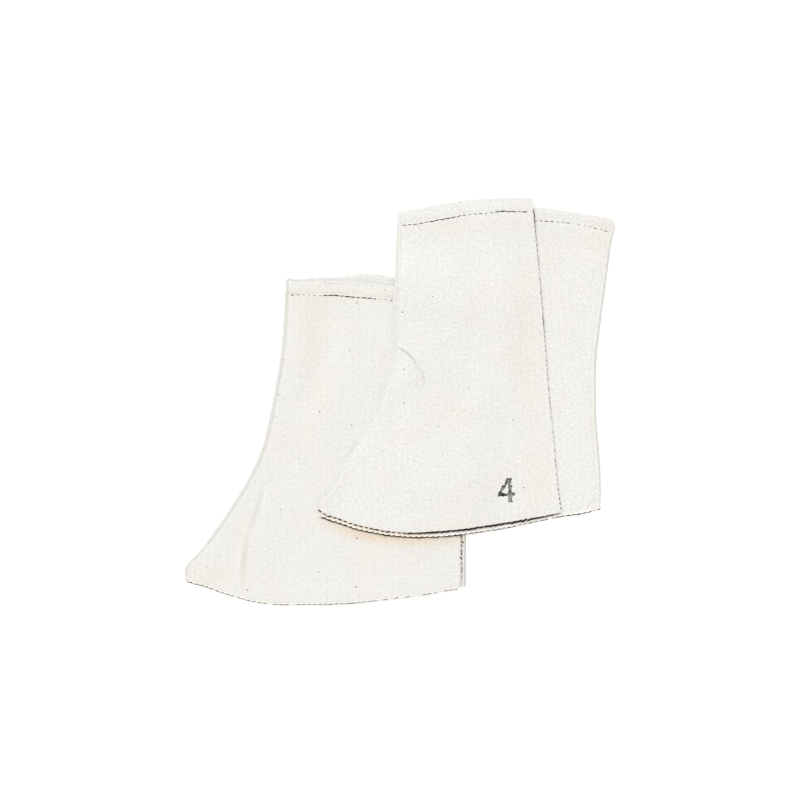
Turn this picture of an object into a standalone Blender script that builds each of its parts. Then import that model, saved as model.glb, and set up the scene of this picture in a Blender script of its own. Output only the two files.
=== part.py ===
"""A pair of canvas foot covers, laid flat on a table, one lying partly on the other.

Each cover is a tube sewn from three panels: an inner half, an outer front that ends in a
straight flap, and an outer back whose edge runs on under the flap. The lower cover shows
its inner half. The upper cover shows its outer side, with the flap on top.
"""
import bmesh
import bpy
import numpy as np
from collections import namedtuple
from math import cos, radians, sin

# Driving dimensions, in millimetres
MM = 0.001
CLOTH = 1.1            # one ply of canvas
GAP = 0.35             # air between two panels that touch
HEM_BAND = 13.0        # depth of the turned top hem
HEM_PLY = 0.9          # what the turned ply adds there
SEAM_BAND = 9.0        # width of the seam allowance, turned in
SEAM_PLY = 0.6         # what the allowance adds to each panel
ROPE_BAND = 3.0        # width of the thread worked over the raw lower edge
ROPE_PLY = 0.6         # what the thread adds there
PLY_EDGE = 2.0         # how far a turned ply takes to end, on the face where it shows
PLY_FADE = 26.0        # how far a panel takes to settle beside a turned ply
FLAP_AT_HEM = -36.2    # free edge of the flap, from the foot of the back seam
FLAP_AT_TOP = -43.6
UNDERLAP = 44.0        # how far the outer back runs on under the flap
COVER_HEIGHT = 311.0   # top of the flap above the foot of the back seam

# How each cover lies: its turn, the foot of its back seam on the table, and where the lay
# draws a seam out of the cut's line, as soft humps of a height, a reach and an amount
Lay = namedtuple("Lay", "turn heel_x heel_y front_pulls back_pulls")
Pull = namedtuple("Pull", "height reach amount")
LOWER_LAY = Lay(turn=0.0, heel_x=65.8, heel_y=-186.2, front_pulls=(), back_pulls=())
UPPER_LAY = Lay(
    turn=3.93, heel_x=198.1, heel_y=-105.6,
    front_pulls=(
        Pull(14.0, 6.0, 4.0),
        Pull(60.0, 42.0, -3.4),
        Pull(168.0, 22.0, 3.2),
        Pull(250.0, 40.0, -1.6),
    ),
    back_pulls=(Pull(40.0, 62.0, 4.2),),
)

# The cut of one cover lying flat. Heights run up from the foot of the back seam, and
# distances run back from it, so the toe is at the negative end.
Level = namedtuple("Level", "height front back")
LEVELS = (
    Level(13.4, -281.5, 0.2),
    Level(18.0, -281.2, 0.2),
    Level(27.0, -275.0, 0.2),
    Level(38.0, -264.0, 0.3),
    Level(52.5, -253.0, 0.4),
    Level(82.0, -232.8, 1.3),
    Level(110.0, -215.8, 4.0),
    Level(145.0, -201.0, 7.6),
    Level(188.0, -191.5, 15.5),
    Level(220.0, -185.8, 22.2),
    Level(245.0, -182.6, 27.2),
    Level(268.0, -180.9, 32.6),
    Level(280.0, -180.3, 36.8),
    Level(292.0, -179.8, 37.0),
)

# Lower edge and top edges, by share of the width from the front seam to the back seam.
# The outer panels are cut a little shorter at the lower edge than the inner half.
LowerEdge = namedtuple("LowerEdge", "share inner outer")
LOWER_EDGE = (
    LowerEdge(0.000, 13.4, 15.6),
    LowerEdge(0.010, 8.2, 12.0),
    LowerEdge(0.036, 4.9, 9.2),
    LowerEdge(0.064, 2.8, 7.2),
    LowerEdge(0.098, -0.9, 3.2),
    LowerEdge(0.142, -5.7, -2.4),
    LowerEdge(0.245, -13.0, -10.4),
    LowerEdge(0.375, -17.0, -13.4),
    LowerEdge(0.442, -17.6, -13.4),
    LowerEdge(0.602, -14.8, -10.6),
    LowerEdge(0.771, -9.3, -6.2),
    LowerEdge(0.856, -6.0, -3.6),
    LowerEdge(0.985, -1.7, -1.1),
    LowerEdge(1.000, 0.6, 0.8),
)
TopEdge = namedtuple("TopEdge", "share height")
INNER_TOP = (
    TopEdge(0.000, 304.6),
    TopEdge(0.012, 306.0),
    TopEdge(0.120, 306.4),
    TopEdge(0.260, 306.6),
    TopEdge(0.380, 304.3),
    TopEdge(0.600, 299.3),
    TopEdge(0.800, 293.0),
    TopEdge(0.930, 287.6),
    TopEdge(0.985, 284.6),
    TopEdge(1.000, 281.5),
)
OUTER_FRONT_TOP = (
    TopEdge(0.000, 306.6),
    TopEdge(0.012, 308.2),
    TopEdge(0.080, 309.0),
    TopEdge(0.162, 311.0),
    TopEdge(0.250, 312.7),
    TopEdge(0.350, 314.3),
    TopEdge(0.480, 313.8),
    TopEdge(0.600, 312.8),
    TopEdge(0.622, 312.4),
    TopEdge(0.632, 310.8),
)
OUTER_BACK_TOP = (
    TopEdge(0.400, 307.2),
    TopEdge(0.640, 303.6),
    TopEdge(0.754, 299.1),
    TopEdge(0.888, 292.3),
    TopEdge(0.985, 286.6),
    TopEdge(1.000, 282.8),
)

# Folds and swells that the lay has left in the cloth: a soft ridge, or a trough where
# the height is negative, along a curve through a start, a middle and an end.
Fold = namedtuple("Fold", "start middle end width height")
LOWER_FOLDS = (
    Fold((-168.0, 290.0), (-166.0, 240.0), (-182.0, 190.0), 15.0, 1.5),
    Fold((-150.0, 290.0), (-140.0, 236.0), (-176.0, 168.0), 14.0, -1.3),
    Fold((-118.0, 286.0), (-112.0, 214.0), (-160.0, 126.0), 26.0, 1.8),
    Fold((-190.0, 112.0), (-205.0, 62.0), (-214.0, 8.0), 16.0, 1.4),
    Fold((-203.0, 112.0), (-219.0, 58.0), (-230.0, 6.0), 11.0, -1.4),
    Fold((-252.0, 44.0), (-252.0, 24.0), (-246.0, 4.0), 15.0, 1.5),
    Fold((-80.0, 120.0), (-70.0, 70.0), (-74.0, 10.0), 40.0, 1.1),
)
UPPER_FOLDS = (
    Fold((-196.0, 166.0), (-180.0, 150.0), (-170.0, 126.0), 11.0, 2.8),
    Fold((-190.0, 173.0), (-172.0, 158.0), (-158.0, 128.0), 5.5, -2.4),
    Fold((-168.0, 144.0), (-155.0, 116.0), (-144.0, 80.0), 11.0, -1.3),
    Fold((-172.0, 190.0), (-152.0, 158.0), (-138.0, 112.0), 18.0, 2.0),
    Fold((-196.0, 136.0), (-200.0, 98.0), (-188.0, 60.0), 12.0, -1.2),
    Fold((-222.0, 96.0), (-226.0, 62.0), (-220.0, 24.0), 18.0, 1.4),
    Fold((-120.0, 290.0), (-112.0, 230.0), (-108.0, 170.0), 36.0, 1.2),
    Fold((-100.0, 130.0), (-92.0, 70.0), (-96.0, 0.0), 44.0, 1.2),
)
BACK_FOLDS = (
    Fold((6.0, 258.0), (-14.0, 200.0), (-16.0, 130.0), 20.0, 0.9),
    Fold((-8.0, 100.0), (-12.0, 60.0), (-10.0, 12.0), 18.0, 0.8),
)
FOLD_STEPS = 33        # points along a fold's curve
FOLD_ENDS = 0.7        # how fully a fold keeps its height towards its ends, less is fuller
SWELL_SIDES = 0.8      # the same for a panel's swell, towards its side edges
SEAM_HOLD = 14.0       # how far in a sewn edge holds the swells down
FREE_HOLD = 30.0       # how far in a free edge lies down
FLAP_LIFT = 0.15       # share of the swell that is left at the flap's free edge

# Raster on which the panels are laid over each other
CELL = 2.0
STEEPEST = 0.24        # slope at which the canvas comes down from a step beneath it
COME_DOWN = 30         # cells that this may take
STAND_OFF = 2          # cells by which it overhangs the step first
SOFTEN = 3             # cells over which its bends are rounded
RASTER_X = 250.0
RASTER_Y = 230.0
SAMPLES = 13           # tests across one cell of a panel's own grid
ROUNDS = 8             # rounds in which a panel's points, or its clearance, settle

# Finish
SHARP_ANGLE = 50.0     # degrees between faces from which an edge is drawn sharp
MATT = 0.92            # roughness of unbleached canvas
OUTER_COLOUR = (0.86, 0.83, 0.75)
INNER_COLOUR = (0.84, 0.80, 0.71)


def smooth_curve(places, values, at):
    """Cubic curve through a table's rows, with each row's slope taken from its neighbours."""
    places = np.asarray(places, float)
    values = np.asarray(values, float)
    at = np.clip(at, places[0], places[-1])
    slopes = np.gradient(values, places)
    row = np.clip(np.searchsorted(places, at) - 1, 0, len(places) - 2)
    step = places[row + 1] - places[row]
    t = (at - places[row]) / step
    start = (1 + 2 * t) * (1 - t) ** 2 * values[row] + t * (1 - t) ** 2 * step * slopes[row]
    end = t * t * (3 - 2 * t) * values[row + 1] - t * t * (1 - t) * step * slopes[row + 1]
    return start + end


def lower_edge(column, share):
    """Height of the lower edge at a share of the width, for the inner or the outer column."""
    heights = [getattr(row, column) for row in LOWER_EDGE]
    return smooth_curve([row.share for row in LOWER_EDGE], heights, share)


def top_edge(rows, share):
    """Height of a top edge of the cut at a share of the cover's width."""
    return smooth_curve([r.share for r in rows], [r.height for r in rows], share)


def pulled(pulls, height):
    """How far the lay draws a seam out of the cut's line, as a sum of soft humps."""
    humps = [pull.amount * np.exp(-((height - pull.height) / pull.reach) ** 2) for pull in pulls]
    return sum(humps, 0.0 * height)


def front_seam(lay, height):
    """Distance of the front seam at a height."""
    cut = smooth_curve([r.height for r in LEVELS], [r.front for r in LEVELS], height)
    return cut + pulled(lay.front_pulls, height)


def back_seam(lay, height):
    """Distance of the back seam at a height."""
    cut = smooth_curve([r.height for r in LEVELS], [r.back for r in LEVELS], height)
    return cut + pulled(lay.back_pulls, height)


def flap_edge(lay, height):
    """Distance of the flap's free edge, a straight line."""
    return FLAP_AT_HEM + (FLAP_AT_TOP - FLAP_AT_HEM) * height / COVER_HEIGHT


def underlap_edge(lay, height):
    """Distance of the outer back's hidden edge, in line with the flap's."""
    return flap_edge(lay, height) - UNDERLAP


# The three panels as cut: the lines of their side edges, whether each is sewn, their lower
# edge and top edge, the width that their stations are spaced for, how many even steps cross
# them when their outer face lies up or down, and the air under them when it lies up
Cut = namedtuple(
    "Cut", "piece left right left_sewn right_sewn low top width steps_up steps_down swell",
)
INNER_HALF = Cut(
    "inner_half", front_seam, back_seam, True, True, "inner", INNER_TOP, 250.0, 20, 16, 1.6,
)
OUTER_FRONT = Cut(
    "outer_front", front_seam, flap_edge, True, False, "outer", OUTER_FRONT_TOP, 195.0, 21, 10, 1.6,
)
OUTER_BACK = Cut(
    "outer_back", underlap_edge, back_seam, False, True, "outer", OUTER_BACK_TOP, 100.0, 5, 2, 0.6,
)
STEPS_HIGH_UP = 24     # even steps up a panel that lies face up
STEPS_HIGH_DOWN = 16   # and up one that lies face down

# A panel as it lies: its cut, its cover's lay, which way its outer face looks, its folds, and
# the stations of its grid
Panel = namedtuple("Panel", "name cut lay face_up folds columns rows")


def stations(near, far, count, length):
    """Shares of a length: fixed distances at both ends, and even steps between them."""
    first = [d / length for d in near]
    last = [1 - d / length for d in reversed(far)]
    middle = np.linspace(first[-1], last[0], count + 2)[1:-1]
    return np.array([*first, *middle, *last])


def panel_points(panel):
    """Points of a panel's grid in the cut's own frame, and their distance from each of its edges.

    A point's height runs from the lower edge to the top edge, and its distance runs from the left
    edge to the right one. Each depends on the other, so a few rounds settle both.
    """
    across, up = np.meshgrid(panel.columns, panel.rows, indexing="ij")
    cut = panel.cut
    share = across
    for _ in range(ROUNDS):
        low = lower_edge(cut.low, share)
        high = top_edge(cut.top, share)
        height = low + up * (high - low)
        left = cut.left(panel.lay, height)
        right = cut.right(panel.lay, height)
        distance = left + across * (right - left)
        front = front_seam(panel.lay, height)
        share = (distance - front) / (back_seam(panel.lay, height) - front)
    return distance, height, distance - left, right - distance, height - low, high - height


def to_table(lay, distance, height):
    """Turns a point of the cut and sets it where the cover lies."""
    turn = radians(lay.turn)
    x = lay.heel_x + distance * cos(turn) - height * sin(turn)
    y = lay.heel_y + distance * sin(turn) + height * cos(turn)
    return x, y


def band(depth, width):
    """1 inside a band along an edge, falling to 0 where the turned ply ends."""
    return np.clip((width + PLY_EDGE - depth) / PLY_EDGE, 0.0, 1.0)


def settle(depth, width):
    """1 inside a band, then an even fall to 0 where the cloth beside it has settled."""
    t = np.clip((depth - width) / PLY_FADE, 0.0, 1.0)
    return 0.5 + 0.5 * np.cos(np.pi * t)


def turned_plies(cut, shape, to_left, to_right, to_low, to_top):
    """What the turned plies add to the wall, using a band or its settled form as the shape."""
    extra = np.maximum(HEM_PLY * shape(to_top, HEM_BAND), ROPE_PLY * shape(to_low, ROPE_BAND))
    if cut.left_sewn:
        extra = np.maximum(extra, SEAM_PLY * shape(to_left, SEAM_BAND))
    if cut.right_sewn:
        extra = np.maximum(extra, SEAM_PLY * shape(to_right, SEAM_BAND))
    return extra


def fold_height(fold, distance, height):
    """A ridge or trough with a bell-shaped section, which fades at both ends of its curve."""
    along = np.linspace(0.0, 1.0, FOLD_STEPS)
    start, middle, end = (np.array(p) for p in (fold.start, fold.middle, fold.end))
    bend = 2 * middle - (start + end) / 2
    t = along[:, None]
    path = (1 - t) ** 2 * start + 2 * t * (1 - t) * bend + t * t * end
    away = np.hypot(distance[..., None] - path[:, 0], height[..., None] - path[:, 1])
    nearest = away.argmin(axis=-1)
    fade = np.sin(np.pi * along[nearest]) ** FOLD_ENDS
    return fold.height * np.exp(-(away.min(axis=-1) / fold.width) ** 2) * fade


def swell_height(panel, distance, height, to_left, to_right):
    """Air under a panel that lies face up: a broad swell and the folds, held down at its sides."""
    cut = panel.cut
    across = np.clip(to_left / (to_left + to_right), 0.0, 1.0)
    lift = cut.swell * np.sin(np.pi * across) ** SWELL_SIDES
    for fold in panel.folds:
        lift = lift + fold_height(fold, distance, height)
    if cut.left_sewn:
        held_left = np.clip(to_left / SEAM_HOLD, 0.0, 1.0)
    else:
        held_left = np.clip(to_left / FREE_HOLD, 0.0, 1.0)
    if cut.right_sewn:
        held_right = np.clip(to_right / SEAM_HOLD, 0.0, 1.0)
    else:
        held_right = np.clip(to_right / FREE_HOLD, FLAP_LIFT, 1.0)
    return np.maximum(lift, 0.0) * held_left * held_right


def raster_axes():
    """Centres of the raster's cells."""
    return np.arange(-RASTER_X, RASTER_X, CELL), np.arange(-RASTER_Y, RASTER_Y, CELL)


def widest(raster, reach):
    """Each cell takes the highest value within reach of it."""
    for axis in (0, 1):
        raster = np.max([np.roll(raster, k, axis) for k in range(-reach, reach + 1)], axis=0)
    return raster


def spanned(raster):
    """Lowest surface over the raster that comes down from each step no steeper than canvas does."""
    for _ in range(COME_DOWN):
        for axis, other in ((0, 0), (0, 1), (1, 1), (1, -1)):
            drop = STEEPEST * CELL * (2 ** 0.5 if other else 1.0)
            for way in (-1, 1):
                beside = np.roll(raster, way, axis)
                if other:
                    beside = np.roll(beside, way * other, 1 - axis)
                raster = np.maximum(raster, beside - drop)
    return raster


def softened(raster, reach):
    """Each cell takes the mean of those within reach, twice over."""
    for axis in (0, 1, 0, 1):
        raster = np.mean([np.roll(raster, k, axis) for k in range(-reach, reach + 1)], axis=0)
    return raster


def sample(raster, x, y):
    """Value of the raster between its cell centres, by linear blending."""
    col = (x + RASTER_X) / CELL
    row = (y + RASTER_Y) / CELL
    i = np.clip(col.astype(int), 0, raster.shape[0] - 2)
    j = np.clip(row.astype(int), 0, raster.shape[1] - 2)
    a = col - i
    b = row - j
    lower = raster[i, j] * (1 - a) + raster[i + 1, j] * a
    upper = raster[i, j + 1] * (1 - a) + raster[i + 1, j + 1] * a
    return lower * (1 - b) + upper * b


def refined(grid):
    """Dense samples of a grid of values: SAMPLES by SAMPLES in each cell, by linear blending."""
    t = np.linspace(0.0, 1.0, SAMPLES)[:, None]
    rows = grid[:-1, None, :] * (1 - t) + grid[1:, None, :] * t
    u = t[:, 0]
    near = rows[:, :, :-1, None]
    far = rows[:, :, 1:, None]
    return near * (1 - u) + far * u


def lay_panel(panel, ground):
    """Lays a panel on what is already there, and returns its points, underside and top."""
    distance, height, *edges = panel_points(panel)
    x, y = to_table(panel.lay, distance, height)
    needed = np.where(ground > 0.0, ground + GAP, 0.0)
    under = sample(softened(spanned(widest(needed, STAND_OFF)), SOFTEN), x, y)
    wall = CLOTH + turned_plies(panel.cut, band, *edges)
    if panel.face_up:
        lift = swell_height(panel, distance, height, edges[0], edges[1])
        under = under + CLOTH + turned_plies(panel.cut, settle, *edges) + lift - wall

    fine_x = refined(x)
    fine_y = refined(y)
    fine_need = sample(widest(needed, 1), fine_x, fine_y)
    for _ in range(ROUNDS):
        lack = np.maximum(fine_need - refined(under), 0.0).max(axis=(1, 3))
        rise = np.zeros_like(under)
        for i, j in ((0, 0), (0, 1), (1, 0), (1, 1)):
            part = rise[i:i + lack.shape[0], j:j + lack.shape[1]]
            np.maximum(part, lack, out=part)
        under = under + rise
    return x, y, under, under + wall


def raise_ground(ground, x, y, top):
    """Marks the panel's top on the raster."""
    fine_x = refined(x).ravel()
    fine_y = refined(y).ravel()
    fine_top = refined(top).ravel()
    i = np.rint((fine_x + RASTER_X) / CELL).astype(int)
    j = np.rint((fine_y + RASTER_Y) / CELL).astype(int)
    raised = ground.copy()
    np.maximum.at(raised, (i, j), fine_top)
    return raised


def sheet_mesh(name, x, y, under, top):
    """A closed wall: the underside and the top as grids of faces, joined round the rim."""
    mesh = bpy.data.meshes.new(name)
    bm = bmesh.new()
    layers = []
    for z in (under, top):
        points = np.stack((x, y, z), axis=-1) * MM
        layers.append([[bm.verts.new(point) for point in row] for row in points])
    below, above = layers
    columns, rows = x.shape
    for i in range(columns - 1):
        for j in range(rows - 1):
            ring = ((i, j), (i + 1, j), (i + 1, j + 1), (i, j + 1))
            bm.faces.new([above[a][b] for a, b in ring])
            bm.faces.new([below[a][b] for a, b in reversed(ring)])
    rim = [(i, 0) for i in range(columns)]
    rim += [(columns - 1, j) for j in range(1, rows)]
    rim += [(i, rows - 1) for i in range(columns - 2, -1, -1)]
    rim += [(0, j) for j in range(rows - 2, 0, -1)]
    for (a, b), (c, d) in zip(rim, rim[1:] + rim[:1]):
        bm.faces.new((below[a][b], below[c][d], above[c][d], above[a][b]))
    bmesh.ops.recalc_face_normals(bm, faces=bm.faces)
    bm.to_mesh(mesh)
    bm.free()
    mesh.shade_smooth()
    mesh.set_sharp_from_angle(angle=radians(SHARP_ANGLE))
    return mesh


def canvas_material(name, colour):
    """Unbleached cotton canvas: matt, a little warmer on one panel than on another."""
    material = bpy.data.materials.new(name)
    material.use_nodes = True
    shader = material.node_tree.nodes["Principled BSDF"]
    shader.inputs["Base Color"].default_value = (*colour, 1.0)
    shader.inputs["Roughness"].default_value = MATT
    shader.inputs["Metallic"].default_value = 0.0
    material.diffuse_color = (*colour, 1.0)
    return material


def placed_panel(prefix, cut, lay, face_up, folds):
    """A panel of one cover, with its stations close together where plies end along its edges."""
    sewn = (0.0, 2.4, SEAM_BAND, 12.5, 20.0)
    free = (0.0, 4.0, 12.0)
    worked = (0.0, ROPE_BAND, 7.0)
    turned = (0.0, 2.5, HEM_BAND, HEM_BAND + 2.5, HEM_BAND + 10.0)
    left = sewn if cut.left_sewn else free
    right = sewn if cut.right_sewn else free
    columns = stations(left, right, cut.steps_up if face_up else cut.steps_down, cut.width)
    rows = stations(worked, turned, STEPS_HIGH_UP if face_up else STEPS_HIGH_DOWN, COVER_HEIGHT)
    return Panel(f"{prefix}_{cut.piece}", cut, lay, face_up, folds, columns, rows)


def cover_panels(prefix, lay, inner_up, folds):
    """The three panels of a cover in the order they lie, lowest first."""
    inner = placed_panel(prefix, INNER_HALF, lay, inner_up, folds)
    front = placed_panel(prefix, OUTER_FRONT, lay, not inner_up, folds)
    back = placed_panel(prefix, OUTER_BACK, lay, not inner_up, BACK_FOLDS)
    return (front, back, inner) if inner_up else (inner, back, front)


def main():
    """Lays the lower cover, then the upper one on it, and centres the pair over the origin."""
    for item in list(bpy.data.objects):
        bpy.data.objects.remove(item, do_unlink=True)

    panels = cover_panels("lower", LOWER_LAY, True, LOWER_FOLDS)
    panels += cover_panels("upper", UPPER_LAY, False, UPPER_FOLDS)
    along, across = raster_axes()
    ground = np.zeros((len(along), len(across)))
    laid = []
    for panel in panels:
        x, y, under, top = lay_panel(panel, ground)
        ground = raise_ground(ground, x, y, top)
        laid.append((panel, x, y, under, top))

    lowest_x = min(x.min() for _, x, _, _, _ in laid)
    highest_x = max(x.max() for _, x, _, _, _ in laid)
    lowest_y = min(y.min() for _, _, y, _, _ in laid)
    highest_y = max(y.max() for _, _, y, _, _ in laid)
    shift_x = (lowest_x + highest_x) / 2
    shift_y = (lowest_y + highest_y) / 2

    outer = canvas_material("unbleached_canvas", OUTER_COLOUR)
    inner = canvas_material("unbleached_canvas_inner_half", INNER_COLOUR)
    for panel, x, y, under, top in laid:
        mesh = sheet_mesh(panel.name, x - shift_x, y - shift_y, under, top)
        mesh.materials.append(inner if panel.cut is INNER_HALF else outer)
        item = bpy.data.objects.new(panel.name, mesh)
        bpy.context.scene.collection.objects.link(item)


main()
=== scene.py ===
# %% [markdown]
# A pair of canvas foot covers lies flat on a pale table, one cover partly on the other. Each
# cover is a tube sewn from three panels of heavy unbleached cotton canvas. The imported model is
# loaded first, as a fixed frame: its six solids give the place and the form of every panel.
# Each panel is then made again as a thin, finely divided wall of cloth on its solid's form.

# %% Load the frame
from collections import namedtuple
from math import cos, radians, sin

import bpy
import numpy as np
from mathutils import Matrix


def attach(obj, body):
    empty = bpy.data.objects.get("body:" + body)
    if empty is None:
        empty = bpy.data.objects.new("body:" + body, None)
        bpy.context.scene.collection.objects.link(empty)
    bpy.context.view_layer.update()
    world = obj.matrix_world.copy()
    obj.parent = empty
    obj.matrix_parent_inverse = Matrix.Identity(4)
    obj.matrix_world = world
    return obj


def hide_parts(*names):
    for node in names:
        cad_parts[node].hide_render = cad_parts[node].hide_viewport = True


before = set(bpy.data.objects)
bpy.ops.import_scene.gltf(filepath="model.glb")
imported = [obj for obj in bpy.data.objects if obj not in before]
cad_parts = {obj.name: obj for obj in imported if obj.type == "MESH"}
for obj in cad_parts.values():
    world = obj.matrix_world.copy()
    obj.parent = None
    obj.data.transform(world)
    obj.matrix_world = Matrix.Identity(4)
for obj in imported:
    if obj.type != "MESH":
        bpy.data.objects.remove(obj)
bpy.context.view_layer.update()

MM = 0.001
print("solids in the frame:", sorted(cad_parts))

# %% [markdown]
# The cut of a cover is drawn once, lying flat. Heights run up from the foot of the back seam
# and distances run back from it, so the toe has negative distances. The same short tables
# shape the solids, so cloth worked out from them meets the solids' outlines by itself.

# %% The cut of one cover, in millimetres
def table(kind, *rows):
    """Rows of numbers as tuples with named columns."""
    return [kind(*row) for row in rows]


LEVELS = table(
    namedtuple("Level", "height front back"),
    (13.4, -281.5, 0.2), (18.0, -281.2, 0.2), (27.0, -275.0, 0.2), (38.0, -264.0, 0.3),
    (52.5, -253.0, 0.4), (82.0, -232.8, 1.3), (110.0, -215.8, 4.0), (145.0, -201.0, 7.6),
    (188.0, -191.5, 15.5), (220.0, -185.8, 22.2), (245.0, -182.6, 27.2), (268.0, -180.9, 32.6),
    (280.0, -180.3, 36.8), (292.0, -179.8, 37.0),
)
LOWER_EDGE = table(
    namedtuple("LowerEdge", "share inner outer"),
    (0.0, 13.4, 15.6), (0.01, 8.2, 12.0), (0.036, 4.9, 9.2), (0.064, 2.8, 7.2), (0.098, -0.9, 3.2),
    (0.142, -5.7, -2.4), (0.245, -13.0, -10.4), (0.375, -17.0, -13.4), (0.442, -17.6, -13.4),
    (0.602, -14.8, -10.6), (0.771, -9.3, -6.2), (0.856, -6.0, -3.6), (0.985, -1.7, -1.1),
    (1.0, 0.6, 0.8),
)
TopEdge = namedtuple("TopEdge", "share height")
INNER_TOP = table(
    TopEdge,
    (0.0, 304.6), (0.012, 306.0), (0.12, 306.4), (0.26, 306.6), (0.38, 304.3), (0.6, 299.3),
    (0.8, 293.0), (0.93, 287.6), (0.985, 284.6), (1.0, 281.5),
)
OUTER_FRONT_TOP = table(
    TopEdge,
    (0.0, 306.6), (0.012, 308.2), (0.08, 309.0), (0.162, 311.0), (0.25, 312.7), (0.35, 314.3),
    (0.48, 313.8), (0.6, 312.8), (0.622, 312.4), (0.632, 310.8),
)
OUTER_BACK_TOP = table(
    TopEdge,
    (0.4, 307.2), (0.64, 303.6), (0.754, 299.1), (0.888, 292.3), (0.985, 286.6), (1.0, 282.8),
)
FLAP_AT_HEM = -36.2    # free edge of the flap, from the foot of the back seam
FLAP_AT_TOP = -43.6
UNDERLAP = 44.0        # how far the outer back runs on under the flap
COVER_HEIGHT = 311.0   # top of the flap above the foot of the back seam


def smooth_curve(places, values, at):
    """Cubic curve through a table's rows that never swings past them.

    A row's slope is the harmonic mean of the slopes on both sides, or none where they turn.
    """
    places = np.asarray(places, float)
    values = np.asarray(values, float)
    at = np.clip(at, places[0], places[-1])
    sides = np.diff(values) / np.diff(places)
    turns = sides[:-1] * sides[1:] <= 0
    mean = 2 * sides[:-1] * sides[1:] / np.where(turns, 1.0, sides[:-1] + sides[1:])
    slopes = np.concatenate((sides[:1], np.where(turns, 0.0, mean), sides[-1:]))
    row = np.clip(np.searchsorted(places, at) - 1, 0, len(places) - 2)
    step = places[row + 1] - places[row]
    t = (at - places[row]) / step
    start = (1 + 2 * t) * (1 - t) ** 2 * values[row] + t * (1 - t) ** 2 * step * slopes[row]
    end = t * t * (3 - 2 * t) * values[row + 1] - t * t * (1 - t) * step * slopes[row + 1]
    return start + end


def read(rows, place, value, at):
    """Value of one named column of a table, along another one."""
    return smooth_curve([getattr(r, place) for r in rows], [getattr(r, value) for r in rows], at)


def bell(away, reach):
    """1 at no distance, falling to 0.37 at the reach and smoothly on to 0."""
    return np.exp(-((away / reach) ** 2))


print("width of the cut at the lower edge:", LEVELS[0].back - LEVELS[0].front, "mm")

# %% [markdown]
# Each cover lies where the photograph shows it: a turn and the place of its heel. The upper
# cover's seams and its flap's edge are drawn a little out of the cut's line by the way it was
# put down, which is a sum of soft humps along each.

# %% How the covers lie
Lay = namedtuple("Lay", "turn heel_x heel_y front_pulls back_pulls flap_pulls")
Pull = namedtuple("Pull", "height reach amount")
LOWER_LAY = Lay(turn=0.0, heel_x=65.8, heel_y=-186.2, front_pulls=(), back_pulls=(), flap_pulls=())
UPPER_LAY = Lay(
    turn=3.93, heel_x=198.1, heel_y=-105.6,
    front_pulls=(
        Pull(14.0, 6.0, 4.0),
        Pull(60.0, 42.0, -3.4),
        Pull(168.0, 22.0, 3.2),
        Pull(250.0, 40.0, -1.6),
    ),
    back_pulls=(Pull(40.0, 62.0, 4.2),),
    flap_pulls=(Pull(110.0, 70.0, -1.5), Pull(35.0, 25.0, -0.7)),
)


def pulled(pulls, height):
    """Sum of humps, each its amount times a bell curve of the height."""
    return sum((p.amount * bell(height - p.height, p.reach) for p in pulls), 0.0 * height)


def front_seam(lay, height):
    """Distance of the front seam at a height."""
    return read(LEVELS, "height", "front", height) + pulled(lay.front_pulls, height)


def back_seam(lay, height):
    """Distance of the back seam at a height."""
    return read(LEVELS, "height", "back", height) + pulled(lay.back_pulls, height)


def flap_edge(lay, height):
    """Distance of the flap's free edge, which is cut straight and lies a little bowed."""
    straight = FLAP_AT_HEM + (FLAP_AT_TOP - FLAP_AT_HEM) * height / COVER_HEIGHT
    return straight + pulled(lay.flap_pulls, height)


def across_cover(lay, share, height):
    """Distance of a place at a share of the way from the front seam to the back seam."""
    front = front_seam(lay, height)
    return front + share * (back_seam(lay, height) - front)


def underlap_edge(lay, height):
    """Distance of the outer back's hidden edge, in line with the flap's."""
    return flap_edge(lay, height) - UNDERLAP


SHIFT_X = 0.026        # what brings the middle of the pair to the middle of the table
SHIFT_Y = -0.239


def to_table(lay, distance, height):
    """Turns a point of the cut and sets it where the cover lies."""
    turn = radians(lay.turn)
    x = lay.heel_x + distance * cos(turn) - height * sin(turn)
    y = lay.heel_y + distance * sin(turn) + height * cos(turn)
    return x, y


print("turn of the upper cover:", UPPER_LAY.turn, "degrees")

# %% [markdown]
# Three panels make a cover. The inner half is one piece, the outer side is an outer front that
# ends in the flap and an outer back that runs on beneath it. In the lower cover the inner half
# lies on top, and in the upper cover the outer panels do. A panel beneath another can roll out
# past it at its left and right seam, and pulls draw its top and lower edge up or down.

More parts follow.
